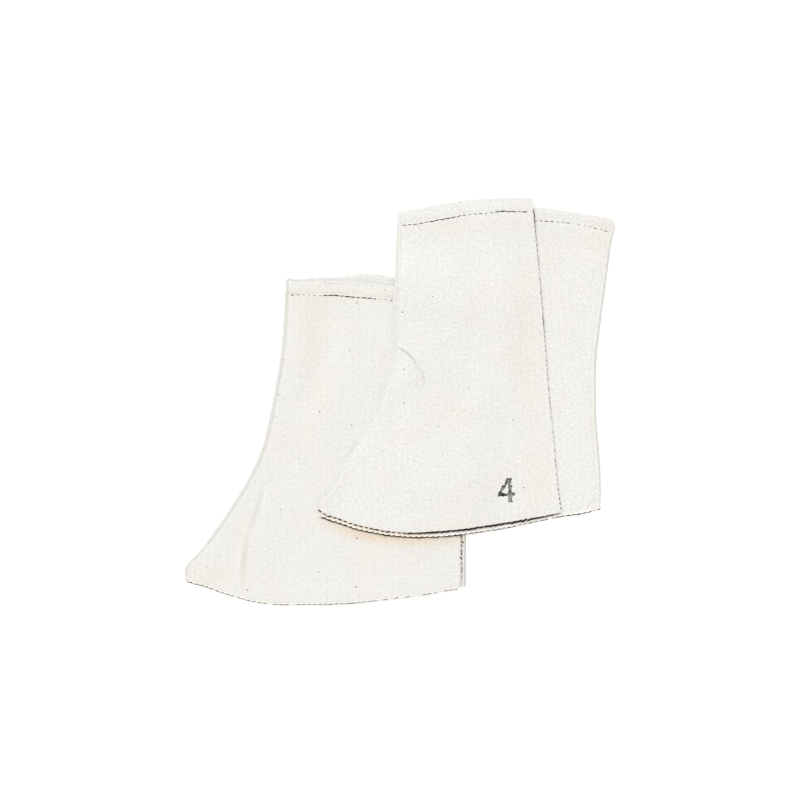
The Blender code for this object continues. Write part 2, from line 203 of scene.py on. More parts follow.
# %% The panels
Cut = namedtuple("Cut", "left right left_sewn right_sewn low top width hem_stitch flat area")
INNER_HALF = Cut(
    front_seam, back_seam, True, True, "inner", INNER_TOP, 235.0, 13.9, (0.3185, 0.3254), 0.0706,
)
OUTER_FRONT = Cut(
    front_seam, flap_edge, True, False, "outer", OUTER_FRONT_TOP, 185.0, 13.2, (0.2454, 0.3279), 0.0555,
)
OUTER_BACK = Cut(
    underlap_edge, back_seam, False, True, "outer", OUTER_BACK_TOP, 100.0, 13.6, (0.1246, 0.3146), 0.0293,
)
Panel = namedtuple("Panel", "node cut lay face_up roll_out top_pulls low_pulls")
PANELS = (
    Panel(
        "lower_outer_front", OUTER_FRONT, LOWER_LAY, False, (1.7, 0.0),
        (Pull(0.01, 0.02, 1.6), Pull(0.26, 0.09, -2.4), Pull(0.30, 0.50, 1.2), Pull(0.51, 0.07, -3.6)), (),
    ),
    Panel("lower_outer_back", OUTER_BACK, LOWER_LAY, False, (0.0, 0.0), (), (Pull(0.95, 0.06, 2.0),)),
    Panel(
        "lower_inner_half", INNER_HALF, LOWER_LAY, True, (0.0, 0.0),
        (Pull(0.01, 0.02, 1.4), Pull(0.20, 0.40, 1.7)),
        (Pull(0.15, 0.08, 1.2), Pull(0.45, 0.10, 2.0), Pull(0.72, 0.14, 0.9), Pull(0.95, 0.06, 2.2)),
    ),
    Panel(
        "upper_inner_half", INNER_HALF, UPPER_LAY, False, (2.4, 1.2), (),
        (
            Pull(0.025, 0.03, 2.6), Pull(0.09, 0.05, 1.6), Pull(0.20, 0.07, 1.2), Pull(0.68, 0.10, -0.7),
            Pull(0.93, 0.06, -0.8), Pull(1.0, 0.012, -1.4),
        ),
    ),
    Panel("upper_outer_back", OUTER_BACK, UPPER_LAY, True, (0.0, 0.0), (), (Pull(1.0, 0.02, -1.0),)),
    Panel(
        "upper_outer_front", OUTER_FRONT, UPPER_LAY, True, (0.0, 0.0), (Pull(0.30, 0.50, 1.5),),
        (Pull(0.0, 0.04, 2.0), Pull(0.19, 0.08, 1.5), Pull(0.66, 0.18, -0.9)),
    ),
)


def top_edge(panel, share):
    """Height of a panel's top edge at a share of the cover's width, with its own pulls."""
    return read(panel.cut.top, "share", "height", share) + pulled(panel.top_pulls, share)


def low_edge(panel, share):
    """Height of its lower edge, in the same way."""
    return read(LOWER_EDGE, "share", panel.cut.low, share) + pulled(panel.low_pulls, share)


CLOTH = 1.1            # one ply of canvas
HEM_BAND = 13.0        # depth of the turned top hem
HEM_PLY = 0.9          # what the turned ply adds there
SEAM_BAND = 9.0        # width of the seam allowance, turned in
SEAM_PLY = 0.6         # what the allowance adds
PLY_EDGE = 2.0         # how far a turned ply takes to end
ROPE_THICK = 1.7       # thickness of the thread worked over the raw lower edge
ROPE_TUCK = 0.9        # how far inside it the cloth itself ends
print("panels, lowest first:", [panel.node for panel in PANELS])

# %% [markdown]
# A panel is a grid. Its stations lie close together where something fine happens: at the
# rounded edges, beside the back seam's edge stitch and along the hem's stitch line. Between
# them they are about 1.7 mm apart, fine enough for a crease two or three millimetres wide.

# %% The grid of a panel
SPACING = 1.7
FINE_SPACING = 0.8
FINER = {"upper_outer_front": ((10, 46), (134, 184))}  # where the sharp crease runs
SEWN_STEPS = (0.0, 0.12, 0.35, 0.7, 1.15, 1.7, 2.3, 2.9, 3.4, 3.9, 4.5, 5.5, 7.0, 8.5, 9.8, 11.2)
FREE_STEPS = (0.0, 0.12, 0.3, 0.6, 1.0, 1.6, 2.4, 3.6)
WORKED_STEPS = (0.0, 0.5, 1.2, 2.2, 3.4)
TURNED_STEPS = (
    0.0, 0.12, 0.35, 0.7, 1.15, 1.8, 2.8, 4.2, 6.0, 8.0, 9.8, 11.2,
    12.2, 12.8, 13.3, 13.8, 14.3, 15.0, 16.0, 17.4,
)
ROLL_GROWS = 30.0      # how far from hem and toe a seam rolls out fully past the panel on top
ROUNDS = 8             # rounds in which a point's height and distance settle
TRIED = 3000           # places at which the sum of steps is worked out


def stations(low_steps, high_steps, length, finer):
    """Shares of a length: set steps in from both ends, and even steps between them.

    Inside the finer stretch the steps are shorter. The number of steps behind each place is
    summed up, and the places where that sum is whole become the stations.
    """
    low = np.array(low_steps) / length
    high = 1 - np.array(high_steps)[::-1] / length
    places = np.linspace(low[-1], high[0], TRIED)
    inside = (places * length > finer[0]) & (places * length < finer[1])
    steps = np.cumsum(np.where(inside, 1 / FINE_SPACING, 1 / SPACING)) * (places[1] - places[0]) * length
    whole = np.linspace(0.0, steps[-1], int(round(steps[-1])) + 1)[1:-1]
    return np.concatenate((low, np.interp(whole, steps, places), high))


def panel_grid(panel):
    """Points of a panel in the cut's frame and on the table, and their depth from each edge.

    A point's height runs from the lower edge to the top edge, and its distance from the left
    edge to the right one. Each depends on the other, so a few rounds settle both.
    """
    cut, lay = panel.cut, panel.lay
    left_steps = SEWN_STEPS if cut.left_sewn else FREE_STEPS
    right_steps = SEWN_STEPS if cut.right_sewn else FREE_STEPS
    finer_columns, finer_rows = FINER.get(panel.node, ((0, 0), (0, 0)))
    columns = stations(left_steps, right_steps, cut.width, finer_columns)
    rows = stations(WORKED_STEPS, TURNED_STEPS, COVER_HEIGHT, finer_rows)
    across, up = np.meshgrid(columns, rows, indexing="ij")
    share = across
    for _ in range(ROUNDS):
        low = low_edge(panel, share) + ROPE_TUCK
        high = top_edge(panel, share)
        height = low + up * (high - low)
        flat = np.clip(np.minimum(high - height, height - low) / ROLL_GROWS, 0.0, 1.0)
        left = cut.left(lay, height) - panel.roll_out[0] * flat
        right = cut.right(lay, height) + panel.roll_out[1] * flat
        distance = left + across * (right - left)
        front = front_seam(lay, height)
        share = (distance - front) / (back_seam(lay, height) - front)
    x, y = to_table(lay, distance, height)
    return {
        "distance": distance, "height": height, "share": share, "x": x, "y": y,
        "to_left": distance - left, "to_right": right - distance,
        "to_low": height - low, "to_top": high - height,
    }


grids = {panel.node: panel_grid(panel) for panel in PANELS}
for grid in grids.values():
    grid["x"] = grid["x"] - SHIFT_X
    grid["y"] = grid["y"] - SHIFT_Y
print("grid points in all:", sum(grid["x"].size for grid in grids.values()))

# %% [markdown]
# The solids say how high each panel lies. Their facets are 10 to 15 mm wide, so they are
# spread onto a raster of 1 mm and smoothed a little, which turns them into an even surface
# that a fine grid can read. Ray casting would do the same, point by point and slower.

# %% Heights of the solids on a raster
CELL = 1.0
REACH_X = 236.0
REACH_Y = 222.0
RASTER = (int(2 * REACH_X / CELL) + 1, int(2 * REACH_Y / CELL) + 1)
SPREAD = 26            # points along the side of a facet
FACING = 0.2           # steepest facet that still counts as looking up or down
MARGIN = 12            # cells by which a height map runs on past its solid
SOFTEN = 4             # cells over which the facets are smoothed


def cell_of(x, y):
    """Raster cell of each point."""
    i = np.clip(np.rint((x + REACH_X) / CELL).astype(int), 0, RASTER[0] - 1)
    j = np.clip(np.rint((y + REACH_Y) / CELL).astype(int), 0, RASTER[1] - 1)
    return i, j


def marked(x, y, z, highest):
    """Raster that keeps the highest, or else the lowest, of the points in each cell."""
    sign = 1.0 if highest else -1.0
    raster = np.full(RASTER, -np.inf)
    np.maximum.at(raster, cell_of(x, y), sign * z)
    return np.where(np.isfinite(raster), sign * raster, np.nan)


def neighbours(raster):
    """The raster moved by one cell in each of the eight ways."""
    ways = [(i, j) for i in (-1, 0, 1) for j in (-1, 0, 1) if i or j]
    return np.stack([np.roll(raster, way, (0, 1)) for way in ways])


def run_on(raster, rounds):
    """Empty cells beside filled ones take their neighbours' mean, a few rounds over."""
    for _ in range(rounds):
        beside = neighbours(raster)
        known = np.isfinite(beside)
        count = known.sum(axis=0)
        mean = np.where(known, beside, 0.0).sum(axis=0) / np.maximum(count, 1)
        raster = np.where(np.isnan(raster) & (count > 0), mean, raster)
    return raster


def softened(raster, reach):
    """Each cell takes the mean of the cells within reach of it, twice over."""
    for axis in (0, 1, 0, 1):
        raster = np.mean([np.roll(raster, k, axis) for k in range(-reach, reach + 1)], axis=0)
    return raster


def sample(raster, x, y):
    """Height of a raster between its cells, by linear blending."""
    col = np.clip((x + REACH_X) / CELL, 0, raster.shape[0] - 1.001)
    row = np.clip((y + REACH_Y) / CELL, 0, raster.shape[1] - 1.001)
    i = col.astype(int)
    j = row.astype(int)
    a = col - i
    b = row - j
    near = raster[i, j] * (1 - a) + raster[i + 1, j] * a
    far = raster[i, j + 1] * (1 - a) + raster[i + 1, j + 1] * a
    return near * (1 - b) + far * b


def solid_heights(node, upper):
    """Height map of a solid's upper or lower face.

    Each facet that looks that way is filled with points at even shares of its three corners.
    """
    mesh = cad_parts[node].data
    mesh.calc_loop_triangles()
    points = np.empty(len(mesh.vertices) * 3, np.float32)
    mesh.vertices.foreach_get("co", points)
    corners = np.empty(len(mesh.loop_triangles) * 3, np.int32)
    mesh.loop_triangles.foreach_get("vertices", corners)
    facets = points.reshape(-1, 3)[corners].reshape(-1, 3, 3).astype(float) / MM
    normals = np.cross(facets[:, 1] - facets[:, 0], facets[:, 2] - facets[:, 0])
    steepness = normals[:, 2] / np.maximum(np.linalg.norm(normals, axis=1), 1e-12)
    facets = facets[steepness > FACING if upper else steepness < -FACING]
    a, b = np.meshgrid(np.arange(SPREAD + 1), np.arange(SPREAD + 1))
    inside = a + b <= SPREAD
    shares = np.stack((a[inside], b[inside], SPREAD - a[inside] - b[inside]), -1) / SPREAD
    spread = np.einsum("sc,fcx->fsx", shares, facets).reshape(-1, 3)
    raster = run_on(marked(spread[:, 0], spread[:, 1], spread[:, 2], upper), MARGIN)
    return softened(np.where(np.isnan(raster), 0.0, raster), SOFTEN)


solid_maps = {panel.node: solid_heights(panel.node, panel.face_up) for panel in PANELS}
print("highest point of a height map:", round(max(m.max() for m in solid_maps.values()), 2), "mm")

# %% [markdown]
# Canvas that has lain folded keeps creases. They are placed in the cut's own millimetres:
# a trough along a short route, deeper or softer, with a roll of cloth beside it where a fold
# stood up. The sharp one runs in from the upper cover's instep. The hidden panels have their
# own.

# %% Creases
Crease = namedtuple("Crease", "width depth roll route")
SHARP_ROUTE = (
    (-194, 176), (-190, 173.4), (-185.7, 170.8), (-181.7, 167.9), (-176.2, 163.2), (-173.8, 159.7),
    (-171.2, 154.5), (-169.2, 150), (-165.4, 144.6), (-164.2, 137), (-164, 130),
)
CREASES = {
    "upper_outer_front": table(
        Crease,
        (7.0, -1.5, 0.0, ((-194, 176), (-181, 167), (-172, 157), (-166, 144), (-164, 128))),
        (1.0, 1.7, 0.7, SHARP_ROUTE[:8]),
        (1.0, 1.0, 0.4, ((-175, 161.5), *SHARP_ROUTE[6:])),
        (4.0, 0.6, 0.2, ((-168, 150), (-161, 133), (-154, 114), (-149, 99), (-144, 80))),
        (5.5, 0.6, 0.3, ((-195, 133), (-198, 111), (-198, 89), (-197, 76), (-189, 62))),
        (3.0, 0.4, 0.3, ((-199, 158), (-190, 163), (-182, 160), (-176, 152))),
        (12.0, 0.4, 0.1, ((-108, 286), (-100, 236), (-104, 176), (-96, 120))),
        (9.0, 0.3, 0.2, ((-70, 214), (-64, 160), (-70, 96))),
        (8.0, 0.4, 0.1, ((-226, 86), (-224, 60), (-214, 34))),
        (2.2, 0.3, 0.2, ((-172, 295), (-169, 288), (-169, 279))),
        (2.6, 0.3, 0.1, ((-60, 300), (-57, 291), (-58, 281))),
    ),
    "upper_outer_back": table(
        Crease,
        (1.6, 0.6, 0.4, ((20, 287), (27, 281), (35, 271))),
        (1.3, 0.5, 0.4, ((27, 287), (31, 281), (37, 276))),
        (1.2, 0.9, 0.5, ((-13, 0), (-7, 4), (0, 12))),
        (7.0, 0.4, 0.2, ((18, 244), (2, 190), (-6, 132))),
        (9.0, 0.3, 0.2, ((-24, 96), (-18, 56), (-20, 16))),
    ),
    "lower_inner_half": table(
        Crease,
        (9.0, 0.4, 0.1, ((-146, 286), (-133, 251), (-154, 214), (-171, 180))),
        (7.0, -1.2, 0.0, ((-204, 92), (-212, 66), (-221, 42), (-222, 18), (-223, -12))),
        (3.4, 0.8, 0.1, ((-200, 104), (-204, 92), (-208, 79), (-214, 60), (-216, 46))),
        (3.0, 0.8, 0.1, ((-214, 64), (-219, 47), (-221, 30), (-222, 12), (-223, -14))),
        (1.2, 0.9, 0.0, ((-220, 46), (-221, 34), (-222, 16), (-223, 2))),
        (2.2, 0.4, 0.3, ((-263, 42), (-258, 30), (-258, 18))),
        (3.0, 0.4, 0.3, ((-250, 50), (-246, 36), (-247, 22))),
        (11.0, 0.4, 0.2, ((-96, 150), (-88, 96), (-94, 40))),
        (8.0, 0.4, 0.2, ((-176, 262), (-172, 226), (-178, 192))),
        (1.4, 0.4, 0.3, ((-8, 2), (-4, 6), (-1, 12))),
        (6.0, 0.3, 0.1, ((-30, 60), (-24, 36), (-28, 10))),
    ),
    "lower_outer_front": table(
        Crease,
        (5.0, 0.5, 0.2, ((-205, 96), (-214, 62), (-222, 20))),
        (8.0, 0.6, 0.2, ((-150, 270), (-140, 226), (-160, 170))),
        (6.0, 0.5, 0.2, ((-110, 130), (-96, 84), (-104, 30))),
    ),
    "lower_outer_back": table(
        Crease,
        (6.0, 0.5, 0.2, ((4, 236), (-8, 190), (-10, 140))),
        (5.0, 0.4, 0.2, ((-14, 90), (-10, 54), (-14, 20))),
    ),
    "upper_inner_half": table(
        Crease,
        (2.4, 0.7, 0.4, ((-190, 170), (-178, 160), (-170, 142))),
        (7.0, 0.6, 0.2, ((-60, 262), (-52, 200), (-62, 140))),
        (6.0, 0.5, 0.2, ((-40, 96), (-30, 60), (-36, 18))),
        (8.0, 0.5, 0.2, ((10, 240), (-2, 190), (-4, 150))),
    ),
}
print("creases placed by hand:", sum(len(rows) for rows in CREASES.values()))

# %% [markdown]
# A crease could be sculpted, but a formula keeps it sharp where a sculpting brush would smear
# it: each point of the cloth finds the nearest place on the route and is lowered or raised by
# how far away that is. The same distance says where shade is painted into a sharp crease.

# %% What a crease does to the cloth
ROUTE_STEPS = 48
CREASE_ENDS = 0.8      # how fully a crease keeps its depth towards its ends, less is fuller
ROLL_AWAY = 2.4        # how far the roll lies from the trough, in widths of the trough
ROLL_WIDE = 1.9        # and its own width


def away_from(route, distance, height):
    """How far points lie from a route, on which side of it, and how much is left of it there.

    What is left follows the sine of the share of the route that is behind the nearest point.
    """
    route = np.array(route, float)
    knots = np.concatenate(([0.0], np.cumsum(np.hypot(*np.diff(route, axis=0).T))))
    along = np.linspace(0.0, knots[-1], ROUTE_STEPS)
    path_d = smooth_curve(knots, route[:, 0], along)
    path_h = smooth_curve(knots, route[:, 1], along)
    away_d = distance[..., None] - path_d
    away_h = height[..., None] - path_h
    nearest = np.hypot(away_d, away_h).argmin(axis=-1)
    to_d = np.take_along_axis(away_d, nearest[..., None], -1)[..., 0]
    to_h = np.take_along_axis(away_h, nearest[..., None], -1)[..., 0]
    slope_d = np.gradient(path_d, along)[nearest]
    slope_h = np.gradient(path_h, along)[nearest]
    side = np.sign(slope_d * to_h - slope_h * to_d)
    fade = np.clip(np.sin(np.pi * along[nearest] / knots[-1]), 0.0, 1.0) ** CREASE_ENDS
    return np.hypot(to_d, to_h), side, fade


def crease_lift(crease, distance, height):
    """A trough with a bell-shaped section along a route, and a wider roll on its left side."""
    away, side, fade = away_from(crease.route, distance, height)
    trough = -crease.depth * bell(away, crease.width)
    roll = crease.roll * bell(side * away - ROLL_AWAY * crease.width, ROLL_WIDE * crease.width)
    return (trough + roll) * fade


# Inside a crease narrower than this, shade is painted as a dark line.
SHARP = 3.5            # creases narrower than this hold a dark line in their depth
PaintedShadeLine = namedtuple("PaintedShadeLine", "side depth width amount")
PAINTED_SHADE_LINES = {         # painted shade along an edge, in a groove or below the hem
    "lower_inner_half": table(
        PaintedShadeLine, ("to_right", 4.2, 1.7, 1.7), ("to_right", 0.3, 1.1, 2.4), ("to_left", 0.8, 1.6, 1.3),
        ("to_top", 0.2, 0.9, 1.2),
    ),
    "upper_outer_front": table(PaintedShadeLine, ("to_left", 0.3, 0.9, 0.9), ("to_top", 0.2, 0.8, 0.7)),
    "upper_outer_back": table(
        PaintedShadeLine, ("to_right", 0.3, 0.8, 0.5), ("to_top", 0.2, 0.8, 0.7), ("to_top", 6.5, 6.0, 0.38),
    ),
}


def painted_line_shade(node, grid):
    """Painted shade: how dark the cloth is drawn in its sharp creases, at its edges and beside the edge
    stitch.
    """
    dark = 0.0 * grid["height"]
    for line in PAINTED_SHADE_LINES.get(node, ()):
        dark = np.maximum(dark, line.amount * bell(grid[line.side] - line.depth, line.width))
    for crease in CREASES[node]:
        if crease.width < SHARP:
            away, _, fade = away_from(crease.route, grid["distance"], grid["height"])
            dark = np.maximum(dark, crease.depth * fade * bell(away, crease.width))
    return dark


WAVES = table(
    namedtuple("Wave", "length direction phase height"),
    (31.0, 74.0, 0.4, 0.07), (47.0, 12.0, 2.1, 0.10), (23.0, 128.0, 4.0, 0.05), (69.0, 50.0, 5.2, 0.12),
    (17.0, 96.0, 1.3, 0.03),
)


def unevenness(distance, height, start):
    """What no hand has placed: a few long low waves that cross each other."""
    lift = 0.0 * distance
    for wave in WAVES:
        turn = radians(wave.direction)
        along = distance * cos(turn) + height * sin(turn)
        lift += wave.height * np.sin(2 * np.pi * along / wave.length + wave.phase + start)
    return lift


print("sharp creases:", sum(crease.width < SHARP for rows in CREASES.values() for crease in rows))

# %% [markdown]
# Sewing shapes the cloth next to it. A stitch line sits in a groove with small puckers on both
# sides, a sewn edge rolls over to meet its neighbour, and the back seam's edge stitch raises a
# narrow bead along the edge. These are small heights worked out from the depth to each edge.

# %% What sewing does to the face of the cloth
EDGE_ROLL = 2.3        # how far in a sewn edge begins to roll over
EDGE_LEFT = 0.2        # what is left of the wall at the very edge
BEAD_STITCH = 3.5      # depth of the edge stitch beside the back seam
BEAD = 0.3             # height of the bead outside it
GROOVE = 0.4           # depth of a stitch line
GROOVE_WIDTH = 0.9     # its width in the hem
EDGE_GROOVE_WIDTH = 0.7  # and beside a sewn edge
HEM_ROUND = 1.1        # radius of the hem's folded edge
CUT_ROUND = 0.8        # radius of an edge that isn't sewn to another
HEM_FULL = 0.3         # how far the turned hem stands proud between its edge and its stitch line
PUCKER = 0.14          # height of the ripples beside a stitch line
PUCKER_REACH = 5.0
PUCKER_PITCH = 7.3


def ply_band(depth, width):
    """1 inside a band along an edge, falling smoothly to 0 where the turned ply ends."""
    t = np.clip((width + PLY_EDGE - depth) / PLY_EDGE, 0.0, 1.0)
    return t * t * (3 - 2 * t)


def wall_of(cut, grid):
    """Thickness of a panel: one ply, and what is turned in along its hem and sewn edges."""
    extra = HEM_PLY * ply_band(grid["to_top"], HEM_BAND)
    if cut.left_sewn:
        extra = np.maximum(extra, SEAM_PLY * ply_band(grid["to_left"], SEAM_BAND))
    if cut.right_sewn:
        extra = np.maximum(extra, SEAM_PLY * ply_band(grid["to_right"], SEAM_BAND))
    return CLOTH + extra


def rounded(depth, radius):
    """Share of the way down that a round edge has gone at a depth: 1 at the edge, 0 inside."""
    t = np.clip(1 - depth / radius, 0.0, 1.0)
    return 1 - np.sqrt(1 - t * t)


def puckers(along, pitch, start):
    """Uneven ripples along a stitch line: two waves whose lengths don't fit each other."""
    return 0.6 * np.sin(2 * np.pi * along / pitch + start) + 0.4 * np.sin(2 * np.pi * along / (1.7 * pitch))


def sewn_face(cut, grid, wall, start):
    """What sewing takes off the outer face, and how far both faces round off at the edges."""
    to_top = grid["to_top"]
    band = np.clip(to_top / cut.hem_stitch, 0.0, 1.0)
    outer = GROOVE * bell(to_top - cut.hem_stitch, GROOVE_WIDTH) - HEM_FULL * np.sin(np.pi * band) ** 2
    near = bell(to_top - cut.hem_stitch, PUCKER_REACH)
    outer = outer + PUCKER * near * puckers(grid["distance"], PUCKER_PITCH, start)
    half = wall / 2 - EDGE_LEFT / 2
    fall_outer = fall_inner = half * rounded(to_top, HEM_ROUND)
    for side, sewn in (("to_left", cut.left_sewn), ("to_right", cut.right_sewn)):
        depth = grid[side]
        if sewn:
            fall_outer = np.maximum(fall_outer, (wall - EDGE_LEFT) * rounded(depth, EDGE_ROLL))
            outer = outer + GROOVE * bell(depth - BEAD_STITCH, EDGE_GROOVE_WIDTH)
            outer = outer - BEAD * np.sin(np.pi * np.clip(depth / BEAD_STITCH, 0.0, 1.0))
        else:
            fall_outer = np.maximum(fall_outer, half * rounded(depth, CUT_ROUND))
            fall_inner = np.maximum(fall_inner, half * rounded(depth, CUT_ROUND))
    return outer, fall_outer, fall_inner


print("thickness at the turned hem:", CLOTH + HEM_PLY, "mm")

# %% [markdown]
# The panels are laid one on another, lowest first. A raster of what lies there already keeps
# each new panel clear of it, as real cloth is. At a sewn edge the upper panel comes down to
# the one that it is sewn to, and some worked edges lie down on the panel beneath.

# %% Lay the panels
CLEAR = 0.15           # air kept between two panels
SEAM_DRAW = 16.0       # how far in a seam draws its upper panel down
EDGE_DRAW = 55.0       # how far up a worked edge that lies down draws the cloth with it
SEAM_GAP = 0.2
SEAM_FALL = 3.0        # most that a seam comes down
EDGE_FALL = 2.0        # most that a worked edge comes down
LIES_DOWN = ("upper_outer_front", "upper_outer_back")  # their worked edges come down
EDGE_SHARE = 0.25      # share of their height that waves and creases have at an edge
EDGE_CALM = 6.0        # how far in from there that share would have grown by one
FACE_MARGIN = 6        # cells by which a finished face runs on, for what is sewn at its edge
FACE_STEPS = 4         # points marked on it from one grid line to the next


def refined(grid, times):
    """Values between a grid's points, by linear blending."""
    t = np.linspace(0.0, 1.0, times)[:, None]
    rows = grid[:-1, None, :] * (1 - t) + grid[1:, None, :] * t
    u = t[:, 0]
    return rows[:, :, :-1, None] * (1 - u) + rows[:, :, 1:, None] * u


def face_map(grid, face, highest):
    """Raster of a finished face, for what is laid or sewn on it."""
    points = [refined(values, FACE_STEPS).ravel() for values in (grid["x"], grid["y"], face)]
    return marked(*points, highest)


def lay_panel(panel, ground, order):
    """Underside and top of a panel on its solid's form, clear of the ground beneath it."""
    cut, grid = panel.cut, grids[panel.node]
    x, y = grid["x"], grid["y"]
    wall = wall_of(cut, grid)
    base = sample(solid_maps[panel.node], x, y)
    under = base - wall if panel.face_up else base
    beneath = sample(ground, x, y)

    if panel.face_up:
        for side, edge, sewn in (("to_left", 0, cut.left_sewn), ("to_right", -1, cut.right_sewn)):
            if sewn:
                gap = np.clip((under - beneath)[edge] - SEAM_GAP, 0.0, SEAM_FALL)
                under = under - gap * (1 - np.clip(grid[side] / SEAM_DRAW, 0.0, 1.0)) ** 2
    if panel.node in LIES_DOWN:
        gap = np.clip((under - beneath)[:, :1] - SEAM_GAP, 0.0, EDGE_FALL)
        under = under - gap * (1 - np.clip(grid["to_low"] / EDGE_DRAW, 0.0, 1.0)) ** 1.5

    lift = unevenness(grid["distance"], grid["height"], order)
    for crease in CREASES[panel.node]:
        lift = lift + crease_lift(crease, grid["distance"], grid["height"])
    if not panel.face_up:
        lift = np.abs(lift)
    for side in ("to_left", "to_right", "to_top", "to_low"):
        lift = lift * np.clip(EDGE_SHARE + grid[side] / EDGE_CALM, 0.0, 1.0)
    under = under + lift
    under = np.maximum(under, np.where(beneath > 0.0, beneath + CLEAR, 0.0))
    top = under + wall

    outer, fall_outer, fall_inner = sewn_face(cut, grid, wall, order)
    if panel.face_up:
        top = np.maximum(top - outer - fall_outer, under + fall_inner + EDGE_LEFT / 2)
        under = under + fall_inner
    else:
        top = top - fall_inner
        under = np.minimum(under + np.maximum(outer, 0.0) + fall_outer, top - EDGE_LEFT / 2)
    return under, top


ground = np.zeros(RASTER)
outer_faces = {}
for order, panel in enumerate(PANELS):
    grid = grids[panel.node]
    under, top = lay_panel(panel, ground, order)
    grid["under"], grid["top"] = under, top
    outer_face = face_map(grid, top if panel.face_up else under, panel.face_up)
    outer_faces[panel.node] = run_on(outer_face, FACE_MARGIN)
    over = face_map(grid, top, True)
    over = np.where(np.isnan(over), 0.0, over)
    over = np.maximum(over, neighbours(over).max(axis=0))
    ground = np.maximum(ground, over)
    print(panel.node, "lies", round(under.min(), 2), "to", round(top.max(), 2), "mm up")

# %% [markdown]
# Each panel becomes one closed wall: its top and its underside as two sheets of faces, and a
# rim between them. Every vertex keeps its place in the cut, so that weave, flecks and shade
# follow the cloth and not the table.

# %% Meshes of the cloth
Spot = namedtuple("Spot", "distance height wide tall warmth")
WARM_SPOTS = {         # where the cloth is a shade warmer
    "upper_outer_front": table(
        Spot, (-58, 150, 16, 150, 0.10), (-110, -9, 120, 6, 0.12), (-110, 290, 70, 7, 0.12),
    ),
    "upper_outer_back": table(Spot, (20, 262, 18, 26, 0.10)),
    # On the lower inner half, the spots along the soft fold and along the toe crease are painted shade in
    # those folds; the others are the cloth's warmer tone.
    "lower_inner_half": table(
        Spot, (-150, 250, 16, 46, 0.10), (-110, 292, 80, 6, 0.22), (-219, 32, 6, 36, 0.14),
        (-262, 10, 30, 8, 0.16),
    ),
}
PAINTED_SHADOW_ROUTES = {        # route and width of the painted warm shadow under the upper cover's edge
    "lower_inner_half": (((-150, 72), (-138, 66), (-113, 56), (-82, 50), (-42, 48), (10, 52)), 6.5),
}
ROUTE_ENDS = 0.4       # how fully that shade keeps its strength towards its ends
OWN_PLACE = 0.9        # metres between the patterns of two faces, so that none repeats another


def mesh_of(name, points, faces):
    """A mesh of four-sided faces from whole arrays, shaded smooth."""
    mesh = bpy.data.meshes.new(name)
    mesh.vertices.add(len(points))
    mesh.vertices.foreach_set("co", (points * MM).astype(np.float32).ravel())
    mesh.loops.add(faces.size)
    mesh.loops.foreach_set("vertex_index", faces.astype(np.int32).ravel())
    mesh.polygons.add(len(faces))
    mesh.polygons.foreach_set("loop_start", np.arange(0, faces.size, faces.shape[1], dtype=np.int32))
    mesh.update(calc_edges=True)
    mesh.validate()
    mesh.shade_smooth()
    item = bpy.data.objects.new(name, mesh)
    bpy.context.scene.collection.objects.link(item)
    return item


def keep_value(item, name, values, kind="FLOAT"):
    """Keeps a value or a vector for every vertex, for the materials to read."""
    attribute = item.data.attributes.new(name, kind, "POINT")
    attribute.data.foreach_set("value" if kind == "FLOAT" else "vector", values.astype(np.float32).ravel())


def cloth_wall(panel):
    """The grid's top sheet, its underside turned over, and a rim that runs round both."""
    grid = grids[panel.node]
    columns, rows = grid["x"].shape
    layers = [np.stack((grid["x"], grid["y"], grid[z]), -1).reshape(-1, 3) for z in ("top", "under")]
    index = np.arange(columns * rows).reshape(columns, rows)
    a, b, c, d = index[:-1, :-1], index[1:, :-1], index[1:, 1:], index[:-1, 1:]
    above = np.stack((a, b, c, d), -1).reshape(-1, 4)
    below = np.stack((a, d, c, b), -1).reshape(-1, 4) + index.size
    rim = np.concatenate((index[:-1, 0], index[-1, :-1], index[:0:-1, -1], index[0, :0:-1]))
    after = np.roll(rim, -1)
    sides = np.stack((rim + index.size, after + index.size, after, rim), -1)
    item = mesh_of(f"canvas_{panel.node}", np.concatenate(layers), np.concatenate((above, below, sides)))
    place = np.stack((grid["distance"], grid["height"], 0 * grid["x"]), -1).reshape(-1, 3) * MM
    place = place + (0.0, OWN_PLACE * (PANELS.index(panel) - len(PANELS) + 1), 0.0)
    keep_value(item, "cut_place", np.concatenate((place, place + (OWN_PLACE, 0.0, 0.0))), "FLOAT_VECTOR")
    warmth = 0.0 * grid["x"]
    for spot in WARM_SPOTS.get(panel.node, ()):
        far = ((grid["distance"] - spot.distance) / spot.wide) ** 2
        far = far + ((grid["height"] - spot.height) / spot.tall) ** 2
        warmth = np.maximum(warmth, spot.warmth * np.exp(-far))
    # Painted warm shadow under the upper cover's edge, along its route.
    if panel.node in PAINTED_SHADOW_ROUTES:
        route, wide = PAINTED_SHADOW_ROUTES[panel.node]
        away, _, fade = away_from(route, grid["distance"], grid["height"])
        warmth = warmth + fade ** ROUTE_ENDS * bell(away, wide)
    keep_value(item, "warmth", np.tile(warmth.ravel(), 2))
    keep_value(item, "painted_crease_and_edge_shade", np.tile(painted_line_shade(panel.node, grid).ravel(), 2))
    print(item.name, len(item.data.polygons) * 2, "triangles")
    return item


cloths = {panel.node: cloth_wall(panel) for panel in PANELS}

# %% [markdown]
# Stitches and the thread worked over the lower edge are many short lengths of thread. Each is
# a small tube with round ends. A stitch's middle stands on the cloth and its ends go into it,
# by the fourth power of the way along. Those of a panel are worked out together as arrays.

# %% Short lengths of thread
RINGS = 7              # rings along a length of thread
ALONG = np.linspace(-1.0, 1.0, RINGS)
STITCH_SIDES = 8       # points round a stitch
ROPE_SIDES = 10        # and round a turn of the rope
ROUND_ENDS = 0.94      # share of the half circle that a tube's radii follow towards its ends
PROUD = 0.42           # what full boldness adds to a stitch's height above the cloth
SUNK = 0.26            # depth at which the middle of the faintest stitch lies
END_SINK = 0.4         # how much deeper its ends go
LOWEST = 0.42          # least height of a stitch's centre line above the table


